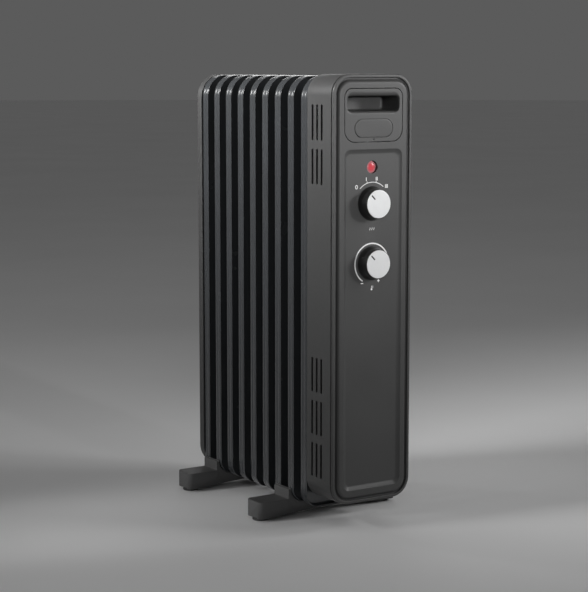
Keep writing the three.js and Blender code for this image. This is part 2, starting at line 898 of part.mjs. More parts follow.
// One fin about its own middle plane: two sheets with an oil chamber pressed between them, a bent
// band round the edge, and a header neck at the top and bottom that opens into the chamber.
function fin() {
  const sheets = slab(finShape(finBandWall / 2), -finSheet, finSheet, finCornerSteps);
  const bandHalf = finBandWidth / 2;
  const band = slab(finShape(0), -bandHalf, bandHalf, finCornerSteps).subtract(
    slab(finShape(finBandWall), -bandHalf - 1, bandHalf + 1, finCornerSteps),
  );
  const chamber = loft(
    [
      [chamberShape(chamberSlope), -chamberHalfDepth],
      [chamberShape(0), 0],
      [chamberShape(chamberSlope), chamberHalfDepth],
    ],
    chamberSteps,
  );
  const hollowHalf = chamberHalfDepth - finSheet;
  const hollow = slab(chamberShape(chamberSlope + finSheet), -hollowHalf, hollowHalf, chamberSteps);
  const headerZs = [upperHeaderZ, lowerHeaderZ];
  const necks = headerZs.map((z) =>
    rodAlongY(headerRadius, -headerHalfLength, headerHalfLength, 0, z, pipeSides),
  );
  const bores = headerZs.map((z) =>
    rodAlongY(headerBore, -headerHalfLength - 1, headerHalfLength + 1, 0, z, 8),
  );
  return joined(sheets, band, chamber, ...necks).subtract(hollow).subtract(joined(...bores));
}

// The pressed oil chamber of a fin, drawn in by an inset.
function chamberShape(inset) {
  const half = chamberWidth / 2 - inset;
  return roundedShape(
    -half,
    half,
    finBottomZ + chamberMargin + inset,
    finTopZ - chamberMargin - inset,
    chamberCorner - inset / 2,
  );
}

// A hairpin heater: two legs with a bend at the far end, and a terminal pin at each near end.
function heatingElement() {
  const nearY = headerFrontY - fitGap - flangeThickness - elementLegReach;
  const bendRoom = elementHalfSpacing + elementRadius + 1;
  const bend = partRing(
    elementHalfSpacing,
    elementRadius,
    0,
    block(-bendRoom, bendRoom, 0, bendRoom, -bendRoom, bendRoom),
    16,
  ).translate([0, elementEndY, 0]);
  const legs = [-1, 1].map((side) =>
    rodAlongY(elementRadius, nearY, elementEndY + 0.05, side * elementHalfSpacing, 0, 8),
  );
  const pins = [-1, 1].map((side) =>
    rodAlongY(terminalRadius, nearY - terminalReach, nearY + 1, side * elementHalfSpacing, 0, 8),
  );
  return joined(bend, ...legs, ...pins);
}

// A disc that closes the lower header round the heater's legs.
function elementFlange() {
  const backY = headerFrontY - fitGap;
  const disc = rodAlongY(flangeRadius, backY - flangeThickness, backY, 0, 0, turnedSides);
  const holes = [-1, 1].map((side) =>
    rodAlongY(
      elementRadius + fitGap,
      backY - flangeThickness - 1,
      backY + 1,
      side * elementHalfSpacing,
      0,
      rodSides,
    ),
  );
  return disc.subtract(joined(...holes));
}

// A disc that closes the end of a header, with its joint face at Y = 0 and its body towards +Y.
function headerCap() {
  return turned([
    [0, 0],
    [capRadius, 0],
    [capRadius, flangeThickness - 0.6],
    [capRadius - 0.6, flangeThickness],
    [0, flangeThickness],
  ]);
}

// A hexagonal plug with a short round shoulder.
function fillerPlug() {
  return joined(
    rodAlongY(fillerHexRadius, -fillerHeight, -1, 0, 0, 6),
    rodAlongY(fillerHexRadius + 2, -1.2, 0, 0, 0, 16),
  );
}

// ---- rear cover ----

function coverShape(inset) {
  const half = halfWidth + coverExtra - inset;
  return roundedShape(
    -half,
    half,
    coverBottomZ + inset,
    coverTopZ - inset,
    coverBottomCorner - inset,
    coverTopCorner - inset,
  );
}

// A shallow tray with a sloped edge, open towards the last fin, with a boss for each screw.
function rearCover() {
  const innerBackY = coverBackY - coverWall;
  const outside = loft([
    [coverShape(0), coverFrontY],
    [coverShape(0), coverBackY - coverEdge],
    [coverShape(coverEdge / 3), coverBackY - coverEdge / 3],
    [coverShape(coverEdge), coverBackY],
  ]);
  const inside = loft([
    [coverShape(coverWall), coverFrontY - 1],
    [coverShape(coverWall), coverBackY - coverEdge],
    [coverShape(coverEdge + coverWall / 2), innerBackY],
  ]);
  const bosses = coverScrewZs.map((z) =>
    rodAlongY(coverBossRadius, coverFrontY + 1, innerBackY + 1, 0, z, 16),
  );
  const screwHoles = coverScrewZs.flatMap((z) => [
    rodAlongY(screwRadius + fitGap, coverFrontY - 1, coverBackY + 1, 0, z, smallSides),
    rodAlongY(screwHeadRadius + slideGap, coverHeadY - fitGap, coverBackY + 1, 0, z, 16),
  ]);
  return outside.subtract(inside).add(joined(...bosses)).subtract(joined(...screwHoles));
}

// ---- feet ----

// A bar about its own middle, hollow from below, arched, with a cradle shaped to the fins.
function foot() {
  const halfSpan = footSpan / 2;
  const halfDepth = footWidth / 2;
  const cradleHalf = halfWidth + cradleClearance + cradleWall;
  const bar = upright(
    roundedShape(-halfSpan, halfSpan, -halfDepth, halfDepth, footCorner),
    footBottomZ,
    footTopZ,
  );
  const cradle = upright(
    roundedShape(-cradleHalf, cradleHalf, -halfDepth, halfDepth, 2),
    footTopZ - 1,
    cradleTopZ,
  );
  const trough = slab(finShape(-cradleClearance), -halfDepth - 1, halfDepth + 1, finCornerSteps);
  const arch = new THREE.Shape();
  arch.moveTo(-footArchHalfSpan, footBottomZ - 1);
  arch.lineTo(footArchHalfSpan, footBottomZ - 1);
  arch.quadraticCurveTo(0, footBottomZ + 2 * footArch, -footArchHalfSpan, footBottomZ - 1);
  const archCut = slab(arch, -halfDepth - 1, halfDepth + 1, 8);
  const innerHalf = halfSpan - footWall;
  const innerDepth = halfDepth - footWall;
  const innerCorner = footCorner - footWall;
  const underDeck = upright(
    roundedShape(-innerHalf, innerHalf, -innerDepth, innerDepth, innerCorner),
    footBottomZ - 1,
    deckBottomZ,
  );
  const toeHollows = [-1, 1].map((side) => {
    const near = side * (cradleHalf + 1);
    const far = side * innerHalf;
    return upright(
      roundedShape(Math.min(near, far), Math.max(near, far), -innerDepth, innerDepth, innerCorner),
      deckBottomZ - 1,
      footTopZ - footWall,
    );
  });
  const padBosses = [-1, 1].map((side) =>
    rodAlongZ(padBossRadius, footBottomZ, footTopZ - 1, side * padX, 0),
  );
  const stemHoles = [-1, 1].map((side) =>
    rodAlongZ(
      padStemRadius + fitGap,
      footBottomZ - 1,
      padTopZ + padStemLength + fitGap,
      side * padX,
      0,
    ),
  );
  const boltHoles = [-1, 1].map((side) =>
    rodAlongZ(boltRadius + slideGap, deckBottomZ - 1, deckTopZ + 1, side * boltLoopRadius, 0),
  );
  return joined(bar, cradle)
    .subtract(joined(trough, archCut, underDeck, ...toeHollows))
    .add(joined(...padBosses))
    .subtract(joined(...stemHoles, ...boltHoles));
}

// A rubber pad with a stem that pushes up into the foot.
function footPad() {
  return turnedUpright(
    [
      [0, 0],
      [padRadius - padChamfer, 0],
      [padRadius, padChamfer],
      [padRadius, padTopZ],
      [padStemRadius, padTopZ],
      [padStemRadius, padTopZ + padStemLength],
      [0, padTopZ + padStemLength],
    ],
    16,
  );
}

// A bolt that loops over the lower header between two fins, with both ends down through the foot.
function uBolt() {
  const room = boltLoopRadius + boltRadius + 1;
  const loop = partRing(
    boltLoopRadius,
    boltRadius,
    Math.PI / 2,
    block(-room, room, -room, room, 0, room),
    24,
  ).translate([0, 0, lowerHeaderZ]);
  const legs = [-1, 1].map((side) =>
    rodAlongZ(boltRadius, boltEndZ, lowerHeaderZ + 0.05, side * boltLoopRadius, 0, 8),
  );
  return joined(loop, ...legs);
}

// A wing nut about its own axis, with its top face at Z = 0.
function wingNut() {
  const hub = rodAlongZ(nutRadius, -nutHeight, 0, 0, 0);
  const wings = [-1, 1].map((side) =>
    block(
      side < 0 ? -wingLength : nutRadius - 1.5,
      side < 0 ? 1.5 - nutRadius : wingLength,
      -wingThickness / 2,
      wingThickness / 2,
      -nutHeight,
      -1,
    ),
  );
  const bore = rodAlongZ(boltRadius + fitGap, -nutHeight - 1, 1, 0, 0);
  return joined(hub, ...wings).subtract(bore);
}

// ---- assembly ----
const radiator = new THREE.Group();
const controls = new THREE.Group();
const column = new THREE.Group();
const stand = new THREE.Group();
radiator.add(controls, column, stand);

controls.add(
  piece("front_panel", frontPanel(), "panelPlastic"),
  piece("handle_insert", handleInsert(), "panelPlastic"),
  piece("badge_pad", badgePad(), "badgePlastic"),
  piece("control_housing", controlHousing(), "housingPlastic"),
  piece("mounting_plate", mountingPlate(), "zincSteel"),
  piece("control_bracket", controlBracket(), "zincSteel"),
);

// each knob turns with its cap and spindle, and its switch stays put behind it
const knobSets = [
  { name: "heat", z: heatKnobZ, size: [switchWidth, switchHeight, switchDepth], body: "heat_switch" },
  {
    name: "thermostat",
    z: thermostatKnobZ,
    size: [thermostatWidth, thermostatHeight, thermostatDepth],
    body: "thermostat",
  },
];
for (const { name, z, size, body } of knobSets) {
  const turning = new THREE.Group();
  turning.position.z = z;
  turning.rotation.y = THREE.MathUtils.degToRad(knobRestDegrees);
  turning.add(
    piece(name + "_knob", knobBody(), "knobPlastic"),
    piece(name + "_knob_cap", knobCap(), "knobSilver"),
    piece(name + "_spindle", spindle(), "zincSteel"),
  );
  const still = piece(body, controlBody(...size), "switchPlastic");
  still.position.z = z;
  controls.add(turning, still);
}

for (const part of [
  piece("indicator_lens", indicatorLens(), "lensRed"),
  piece("lamp_holder", lampHolder(), "switchPlastic"),
  piece("neon_lamp", neonLamp(), "glass"),
]) {
  part.position.z = lampZ;
  controls.add(part);
}

const cutout = piece("thermal_cutout", thermalCutout(), "switchPlastic");
cutout.position.set(cutoutX, 0, lowerHeaderZ + cutoutRise);
const clampBlock = piece("terminal_block", terminalBlock(), "switchPlastic");
clampBlock.position.set(blockX, 0, lowerHeaderZ + blockRise);
const inlet = piece("cord_inlet", cordInlet(), "rubber");
inlet.position.set(inletX, inletY, 0);
controls.add(cutout, clampBlock, inlet);

lugZs.forEach((z, row) => {
  for (const side of [-1, 1]) {
    const number = row * 2 + (side < 0 ? 1 : 2);
    const fastener = piece(
      "housing_screw_" + number,
      screw(lugThickness + plateThickness + 1.5),
      "zincSteel",
    );
    fastener.position.set(side * lugX, plateFrontY - 2 * fitGap - lugThickness, z);
    controls.add(fastener);
  }
});

const finGeometry = geometryOf(fin());
for (let i = 0; i < finCount; i++) {
  const part = piece("fin_" + (i + 1), finGeometry, "finEnamel");
  part.position.y = firstFinY + i * finPitch;
  column.add(part);
}

const element = piece("heating_element", heatingElement(), "zincSteel");
const flange = piece("element_flange", elementFlange(), "brass");
for (const part of [element, flange]) {
  part.position.z = lowerHeaderZ;
  column.add(part);
}

const frontCap = piece("header_cap_front", headerCap(), "finEnamel");
frontCap.position.set(0, headerFrontY - fitGap, upperHeaderZ);
frontCap.rotation.z = Math.PI;
const upperRearCap = piece("header_cap_rear_upper", headerCap(), "finEnamel");
upperRearCap.position.set(0, headerBackY + fitGap, upperHeaderZ);
const lowerRearCap = piece("header_cap_rear_lower", headerCap(), "finEnamel");
lowerRearCap.position.set(0, headerBackY + fitGap, lowerHeaderZ);
const filler = piece("filler_plug", fillerPlug(), "brass");
filler.position.set(0, fillerBackY, upperHeaderZ);
column.add(frontCap, upperRearCap, lowerRearCap, filler);

column.add(piece("rear_cover", rearCover(), "housingPlastic"));
coverScrewZs.forEach((z, index) => {
  const fastener = piece("cover_screw_" + (index + 1), screw(coverHeadY - coverFrontY - 1), "zincSteel");
  fastener.position.set(0, coverHeadY, z);
  fastener.rotation.z = Math.PI;
  column.add(fastener);
});

for (const [end, index] of Object.entries(footGapIndexes)) {
  const group = new THREE.Group();
  group.position.y = firstFinY + index * finPitch;
  group.add(piece("foot_" + end, foot(), "footPlastic"), piece("u_bolt_" + end, uBolt(), "zincSteel"));
  for (const side of [-1, 1]) {
    const hand = side < 0 ? "left" : "right";
    const pad = piece("foot_pad_" + end + "_" + hand, footPad(), "rubber");
    pad.position.x = side * padX;
    const nut = piece("wing_nut_" + end + "_" + hand, wingNut(), "zincSteel");
    nut.position.set(side * boltLoopRadius, 0, deckBottomZ - fitGap);
    group.add(pad, nut);
  }
  stand.add(group);
}

// the origin is on the floor, under the middle of the whole object
radiator.position.y = -(knobFaceY + coverBackY) / 2;

export default radiator;
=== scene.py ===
import math
import bmesh
import bpy
import numpy as np
from mathutils.geometry import delaunay_2d_cdt
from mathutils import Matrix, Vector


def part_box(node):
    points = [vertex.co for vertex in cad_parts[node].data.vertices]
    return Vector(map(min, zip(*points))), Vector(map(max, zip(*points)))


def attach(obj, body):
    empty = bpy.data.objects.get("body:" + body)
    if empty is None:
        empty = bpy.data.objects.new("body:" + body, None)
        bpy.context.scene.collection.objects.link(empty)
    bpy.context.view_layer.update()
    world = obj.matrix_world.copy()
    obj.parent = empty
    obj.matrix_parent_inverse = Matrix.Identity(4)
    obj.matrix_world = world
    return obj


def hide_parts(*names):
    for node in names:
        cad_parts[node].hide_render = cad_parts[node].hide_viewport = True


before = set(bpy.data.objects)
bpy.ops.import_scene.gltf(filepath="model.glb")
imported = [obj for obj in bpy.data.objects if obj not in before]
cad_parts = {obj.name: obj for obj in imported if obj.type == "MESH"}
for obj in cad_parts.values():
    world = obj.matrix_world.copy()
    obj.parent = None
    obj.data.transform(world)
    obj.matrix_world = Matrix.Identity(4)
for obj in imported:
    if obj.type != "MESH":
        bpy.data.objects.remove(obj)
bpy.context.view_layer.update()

mm = 0.001  # shapes are worked out in millimetres and written in metres
quarterTurn = math.pi / 2


# Lowest and highest corner of a CAD node, in millimetres.
def nodeBox(node):
    low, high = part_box(node)
    return np.array(low) / mm, np.array(high) / mm


# Straight stretches through points, with an arc at each inner point. The arc's arms swing evenly
# from one tangent point to the other about the centre that keeps the radius from both stretches.
def filletedLine(points, radii, steps=5):
    points = np.asarray(points, float)
    line = [points[:1]]
    for before, here, after, radius in zip(points, points[1:], points[2:], radii):
        toBefore = (before - here) / np.linalg.norm(before - here)
        toAfter = (after - here) / np.linalg.norm(after - here)
        half = math.acos(np.clip(toBefore @ toAfter, -1, 1)) / 2
        if radius == 0 or half > quarterTurn - 1e-3:
            line.append(here[None])
            continue
        middle = toBefore + toAfter
        centre = here + middle / np.linalg.norm(middle) * radius / math.sin(half)
        start = here + toBefore * radius / math.tan(half) - centre
        end = here + toAfter * radius / math.tan(half) - centre
        sweep = math.pi - 2 * half
        t = np.linspace(0, 1, steps + 1)[:, None]
        arms = (np.sin((1 - t) * sweep) * start + np.sin(t * sweep) * end) / math.sin(sweep)
        line.append(centre + arms)
    line.append(points[-1:])
    return np.concatenate(line)


# A rectangle with round corners, anticlockwise from the lower left as points [x, z]: each corner is
# a quarter circle of its own radius, in the order lower left, lower right, upper right, upper left.
def roundedLoop(left, right, bottom, top, radii, steps=12):
    turn = np.linspace(0, quarterTurn, steps + 1)
    corners = (
        (left, bottom, 1, 1, math.pi),
        (right, bottom, -1, 1, 3 * quarterTurn),
        (right, top, -1, -1, 0),
        (left, top, 1, -1, quarterTurn),
    )
    parts = []
    for (x, z, intoX, intoZ, start), radius in zip(corners, radii):
        radius = max(radius, 0.05)
        across = x + intoX * radius + radius * np.cos(start + turn)
        up = z + intoZ * radius + radius * np.sin(start + turn)
        parts.append(np.stack([across, up], axis=1))
    return np.concatenate(parts)


# A circle as points [x, z].
def circleLoop(radius, x=0, z=0, sides=48):
    angle = np.arange(sides) * 2 * math.pi / sides
    return np.stack([x + radius * np.cos(angle), z + radius * np.sin(angle)], axis=1)


# A patch is [points, faces, smooth], and patches are merged into one mesh later. Here: four-sided
# faces between neighbouring rows of a grid of points, whose rows may close on themselves.
def gridFaces(rows, columns, closed=True):
    steps = columns if closed else columns - 1
    row, column = np.meshgrid(np.arange(rows - 1), np.arange(steps), indexing="ij")
    here = row * columns + column
    beside = row * columns + (column + 1) % columns
    return np.stack([here, beside, beside + columns, here + columns], axis=-1).reshape(-1, 4)


# A grid of points, rows by columns by 3, as one patch.
def gridPatch(grid, closed=True, smooth=True):
    rows, columns = grid.shape[:2]
    return grid.reshape(-1, 3), gridFaces(rows, columns, closed).tolist(), smooth


# One loop for each [inset, y] of a profile, drawn in by that inset and set at that y.
def insetPatch(loop, profile, smooth=True):
    grid = np.stack([np.insert(loop(inset), 1, y, axis=1) for inset, y in profile])
    return gridPatch(grid, smooth=smooth)


# A straight wall: the same loop repeated at each y of a list.
def wallPatch(loop, heights, smooth=True):
    return gridPatch(np.stack([np.insert(loop, 1, y, axis=1) for y in heights]), smooth=smooth)


# A flat face at one y inside its outer loop and outside its holes: a triangulation that keeps every
# loop's edges, less the triangles with an even number of loop edges to the right of their middle.
def flatPatch(outer, holes, y):
    loops = [outer, *holes]
    points = np.concatenate(loops)
    starts = np.cumsum([0] + [len(loop) for loop in loops])
    edges = np.concatenate(
        [
            np.stack([np.arange(a, b), a + (np.arange(a, b) + 1 - a) % (b - a)], axis=1)
            for a, b in zip(starts, starts[1:])
        ]
    )
    found = delaunay_2d_cdt(points.tolist(), edges.tolist(), [], 0, 1e-6)
    corners = np.array([tuple(p) for p in found[0]])
    triangles = np.array(found[2])
    middles = corners[triangles].mean(axis=1)
    x1, z1 = points[edges[:, 0]].T
    x2, z2 = points[edges[:, 1]].T
    above = (z1 > middles[:, 1:]) != (z2 > middles[:, 1:])
    rise = np.where(z2 == z1, 1, z2 - z1)
    crossing = x1 + (middles[:, 1:] - z1) * (x2 - x1) / rise
    inside = (above & (middles[:, :1] < crossing)).sum(axis=1) % 2 == 1
    return np.insert(corners, 1, y, axis=1), triangles[inside].tolist(), False


# A profile of [radius, height] swept round an axis along y or z through a middle point.
def turnedPatch(profile, middle, axis="y", sides=64):
    radius, height = np.asarray(profile, float).T
    angle = np.arange(sides) * 2 * math.pi / sides
    across = radius[:, None] * np.cos(angle)
    up = radius[:, None] * np.sin(angle)
    along = np.broadcast_to(height[:, None], across.shape)
    order = (across, along, up) if axis == "y" else (across, up, along)
    return gridPatch(np.stack(order, axis=-1) + np.asarray(middle, float))


# A round rod along a path: at each point a circle square to the path's direction, with its first
# arm kept square to one fixed side direction.
def rodPatch(path, radius, side, sides=16):
    path = np.asarray(path, float)
    along = np.gradient(path, axis=0)
    along /= np.linalg.norm(along, axis=1)[:, None]
    arm = np.cross(along, side)
    arm /= np.linalg.norm(arm, axis=1)[:, None]
    other = np.cross(along, arm)
    angle = np.arange(sides) * 2 * math.pi / sides
    ring = np.cos(angle)[None, :, None] * arm[:, None] + np.sin(angle)[None, :, None] * other[:, None]
    grid = path[:, None] + radius * ring
    caps = [np.repeat(end[None, None], sides, 1) for end in (path[0], path[-1])]
    return gridPatch(np.concatenate([caps[0], grid, caps[1]]))


# A patch turned about an axis along y through [x, z], in degrees seen from the front, and moved.
def placed(patch, degrees=0, centre=(0, 0), move=(0, 0, 0)):
    points, faces, smooth = patch
    x, y, z = points[:, 0] - centre[0], points[:, 1], points[:, 2] - centre[1]
    c, s = math.cos(math.radians(degrees)), math.sin(math.radians(degrees))
    turnedPoints = np.stack([x * c + z * s + centre[0], y, z * c - x * s + centre[1]], axis=1)
    return turnedPoints + np.asarray(move, float), faces, smooth


# A patch kept (side 1) or mirrored front to back about y = 0 (side -1).
def mirrored(patch, side):
    points, faces, smooth = patch
    return points * (1, side, 1), faces, smooth


# How sharply each vertex stands out: twice its height over a neighbour along its own normal, over
# their squared distance, which is one over the radius there, times a reference radius.
def storeEdges(mesh, reference=2.4 * mm):
    count = len(mesh.vertices)
    points = np.empty(count * 3)
    mesh.vertices.foreach_get("co", points)
    normals = np.empty(count * 3)
    mesh.vertices.foreach_get("normal", normals)
    ends = np.empty(len(mesh.edges) * 2, np.int32)
    mesh.edges.foreach_get("vertices", ends)
    points, normals, ends = points.reshape(-1, 3), normals.reshape(-1, 3), ends.reshape(-1, 2)
    sharp = np.zeros(count)
    for here, there in ((0, 1), (1, 0)):
        gap = points[ends[:, here]] - points[ends[:, there]]
        stand = 2 * (gap * normals[ends[:, here]]).sum(axis=1) / np.maximum((gap**2).sum(axis=1), 1e-12)
        np.maximum.at(sharp, ends[:, here], stand)
    layer = mesh.attributes.new("edge", "FLOAT", "POINT")
    layer.data.foreach_set("value", np.clip(sharp * reference, 0, 1).astype(np.float32))


# Joins patches into one mesh object in metres, rides it on its body and gives it its finish.
def makePiece(name, patches, finish, body="body", replaced=()):
    starts = np.cumsum([0] + [len(points) for points, _, _ in patches])
    points = np.concatenate([points for points, _, _ in patches]) * mm
    faces = [[i + start for i in face] for (_, some, _), start in zip(patches, starts) for face in some]
    smooth = [flag for _, some, flag in patches for _ in some]
    mesh = bpy.data.meshes.new(name)
    mesh.from_pydata(points.tolist(), [], faces)
    mesh.polygons.foreach_set("use_smooth", smooth)
    work = bmesh.new()
    work.from_mesh(mesh)
    bmesh.ops.remove_doubles(work, verts=work.verts, dist=2e-6)
    bmesh.ops.dissolve_degenerate(work, edges=work.edges, dist=1e-7)
    bmesh.ops.recalc_face_normals(work, faces=work.faces)
    work.to_mesh(mesh)
    work.free()
    storeEdges(mesh)
    mesh.materials.append(materials[finish])
    piece = bpy.data.objects.new(name, mesh)
    bpy.context.scene.collection.objects.link(piece)
    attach(piece, body)
    if replaced:
        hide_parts(*replaced)
    return piece


# An empty shader node group with named number or vector inputs and outputs.
def effectGroup(name, inputs, outputs):
    group = bpy.data.node_groups.new(name, "ShaderNodeTree")
    for label, kind, value in inputs:
        socket = group.interface.new_socket(label, in_out="INPUT", socket_type=kind)
        socket.default_value = value
    for label, kind in outputs:
        group.interface.new_socket(label, in_out="OUTPUT", socket_type=kind)
    return group, group.nodes.new("NodeGroupInput"), group.nodes.new("NodeGroupOutput")


# Adds a node with the given sockets set: a value is a number, a colour or another node's output.
def addNode(tree, kind, settings=None, **sockets):
    node = tree.nodes.new(kind)
    for key, value in (settings or {}).items():
        setattr(node, key, value)
    for key, value in sockets.items():
        socket = node.inputs[int(key[1:])] if key[0] == "i" and key[1:].isdigit() else node.inputs[key]
        if isinstance(value, bpy.types.NodeSocket):
            tree.links.new(value, socket)
        else:
            socket.default_value = value
    return node


# One step of arithmetic on two values.
def addMath(tree, operation, first, second=0.0, clamp=False):
    settings = {"operation": operation, "use_clamp": clamp}
    return addNode(tree, "ShaderNodeMath", settings, i0=first, i1=second).outputs[0]


# Noise at a place, as a factor from 0 to 1.
def addNoise(tree, place, scale, detail, roughness=0.5):
    sockets = {"Vector": place, "Scale": scale, "Detail": detail, "Roughness": roughness}
    return addNode(tree, "ShaderNodeTexNoise", **sockets).outputs["Fac"]


# Object coordinates, so that a pattern stays on its piece.
def objectPlace(tree):
    return tree.nodes.new("ShaderNodeTexCoord").outputs["Object"]


# Joins each value to the node's socket of that name.
def wire(tree, node, values):
    for label, value in values.items():
        tree.links.new(value, node.inputs[label])


number = "NodeSocketFloat"


# Fine moulded grain: small noise times the distance between pits for the height, and 0.35 of the
# noise with 0.65 of a slow cloud for the tone.
def makeGrain():
    tree, given, result = effectGroup(
        "mouldedGrain",
        [("Fineness", number, 2200.0), ("Cloud", number, 9.0)],
        [("Height", number), ("Tone", number), ("Polish", number)],
    )
    place = objectPlace(tree)
    fine = addNoise(tree, place, given.outputs["Fineness"], 3.0, 0.6)
    pits = addNode(tree, "ShaderNodeTexVoronoi", Vector=place, Scale=given.outputs["Fineness"])
    cloud = addNoise(tree, place, given.outputs["Cloud"], 4.0, 0.55)
    height = addMath(tree, "MULTIPLY", fine, pits.outputs["Distance"])
    fineShare = addMath(tree, "MULTIPLY", fine, 0.35)
    cloudShare = addMath(tree, "MULTIPLY", cloud, 0.65)
    tone = addMath(tree, "ADD", fineShare, cloudShare)
    wire(tree, result, {"Height": height, "Tone": tone, "Polish": cloud})
    return tree


# Worn edges: the stored sharpness of each vertex times noise, less a threshold, steepened.
def makeWear():
    inputs = [("Amount", number, 0.5), ("Break up", number, 160.0)]
    tree, given, result = effectGroup("edgeWear", inputs, [("Mask", number)])
    edge = addNode(tree, "ShaderNodeAttribute", {"attribute_name": "edge"}).outputs["Fac"]
    noise = addNoise(tree, objectPlace(tree), given.outputs["Break up"], 5.0, 0.65)
    lifted = addMath(tree, "SUBTRACT", addMath(tree, "MULTIPLY", edge, noise), 0.3)
    steep = addMath(tree, "MULTIPLY", lifted, 4.0, clamp=True)
    wire(tree, result, {"Mask": addMath(tree, "MULTIPLY", steep, given.outputs["Amount"])})
    return tree


# A thin film of dust: how far a face looks up, times slow noise, times the amount.
def makeDust():
    tree, given, result = effectGroup("dustFilm", [("Amount", number, 0.2)], [("Mask", number)])
    normal = tree.nodes.new("ShaderNodeNewGeometry").outputs["Normal"]
    facing = addNode(tree, "ShaderNodeSeparateXYZ", Vector=normal)
    noise = addNoise(tree, objectPlace(tree), 38.0, 6.0, 0.7)
    up = addMath(tree, "MULTIPLY", facing.outputs["Z"], noise, clamp=True)
    wire(tree, result, {"Mask": addMath(tree, "MULTIPLY", up, given.outputs["Amount"])})
    return tree


# The soft waviness of sprayed enamel: smooth noise for the height and a slow cloud for the tone.
def makePeel():
    outputs = [("Height", number), ("Tone", number)]
    tree, given, result = effectGroup("orangePeel", [("Size", number, 420.0)], outputs)
    place = objectPlace(tree)
    wave = addNoise(tree, place, given.outputs["Size"], 2.0, 0.4)
    wire(tree, result, {"Height": wave, "Tone": addNoise(tree, place, 14.0, 4.0, 0.6)})
    return tree


# Drawn or rolled metal: noise stretched along one axis, and spots for the tone.
def makeDrawn():
    inputs = [("Stretch", "NodeSocketVector", (900.0, 60.0, 900.0))]
    tree, given, result = effectGroup("drawnMetal", inputs, [("Height", number), ("Tone", number)])
    place = objectPlace(tree)
    settings = {"operation": "MULTIPLY"}
    scaled = addNode(tree, "ShaderNodeVectorMath", settings, i0=place, i1=given.outputs["Stretch"])
    lines = addNoise(tree, scaled.outputs[0], 1.0, 3.0)
    wire(tree, result, {"Height": lines, "Tone": addNoise(tree, place, 90.0, 5.0, 0.7)})
    return tree


effects = {
    "grain": makeGrain(),
    "wear": makeWear(),
    "dust": makeDust(),
    "peel": makePeel(),
    "drawn": makeDrawn(),
}


# Places a shared effect in a material with its own values; an underscore stands for a space.
def addEffect(tree, name, **values):
    node = tree.nodes.new("ShaderNodeGroup")
    node.node_tree = effects[name]
    for label, value in values.items():
        node.inputs[label.replace("_", " ")].default_value = value
    return node


# The first colour at factor 0 and the second at 1, in proportion between.
def mixColours(tree, factor, first, second):
    node = addNode(tree, "ShaderNodeMix", {"data_type": "RGBA"}, i0=factor, i6=first, i7=second)
    return node.outputs[2]


# A value's range stretched in a straight line to another, and held at its ends.
def mapRange(tree, value, low, high, fromLow=0.3, fromHigh=0.7):
    sockets = {"Value": value, "From Min": fromLow, "From Max": fromHigh, "To Min": low, "To Max": high}
    return addNode(tree, "ShaderNodeMapRange", {"clamp": True}, **sockets).outputs["Result"]


# A shallow bump from a height, on the shader's normal.
def addBump(tree, shader, height, strength, depth):
    bump = addNode(tree, "ShaderNodeBump", Strength=strength, Distance=depth, Height=height)
    tree.links.new(bump.outputs[0], shader.inputs["Normal"])


# One brightness in all three colours.
def grey(value):
    return (value, value, value, 1.0)


dustColour = (0.32, 0.30, 0.27, 1.0)
plasticLooks = {
    "panelPlastic": {
        "low": grey(0.050), "high": grey(0.056), "worn": grey(0.11), "wear": 0.12,
        "rough": (0.42, 0.48), "fineness": 1500.0, "bump": 0.15, "depth": 0.00012, "dust": 0.02,
    },
    "housingPlastic": {
        "low": grey(0.046), "high": grey(0.052), "worn": grey(0.10), "wear": 0.10,
        "rough": (0.44, 0.50), "fineness": 1500.0, "bump": 0.18, "depth": 0.00012, "dust": 0.02,
    },
    "badgePlastic": {
        "low": grey(0.053), "high": grey(0.058), "worn": grey(0.12), "wear": 0.12,
        "rough": (0.34, 0.40), "fineness": 2600.0, "bump": 0.10, "depth": 0.00008, "dust": 0.02,
    },
    "footPlastic": {
        "low": grey(0.070), "high": grey(0.078), "worn": grey(0.10), "wear": 0.12,
        "rough": (0.48, 0.56), "fineness": 1300.0, "bump": 0.25, "depth": 0.00015, "dust": 0.05,
    },
    "knobBlack": {
        "low": grey(0.008), "high": grey(0.012), "worn": grey(0.03), "wear": 0.15,
        "rough": (0.30, 0.36), "fineness": 3000.0, "bump": 0.10, "depth": 0.00008, "dust": 0.02,
    },
    "switchPlastic": {
        "low": (0.55, 0.52, 0.45, 1.0), "high": (0.66, 0.63, 0.56, 1.0), "worn": grey(0.75), "wear": 0.2,
        "rough": (0.45, 0.6), "fineness": 1800.0, "bump": 0.15, "depth": 0.0001, "dust": 0.15,
    },
    "blackRubber": {
        "low": grey(0.009), "high": grey(0.016), "worn": grey(0.04), "wear": 0.2,
        "rough": (0.72, 0.85), "fineness": 1100.0, "bump": 0.4, "depth": 0.0002, "dust": 0.08,
    },
    "dialWhite": {
        "low": grey(0.80), "high": grey(0.86), "worn": grey(0.6), "wear": 0.02,
        "rough": (0.4, 0.5), "fineness": 3000.0, "bump": 0.05, "depth": 0.00005, "dust": 0.0,
    },
}


# A principled material named for its finish, ready to be wired.
def startMaterial(name):
    material = bpy.data.materials.new(name)
    material.use_nodes = True
    return material, material.node_tree, material.node_tree.nodes["Principled BSDF"]


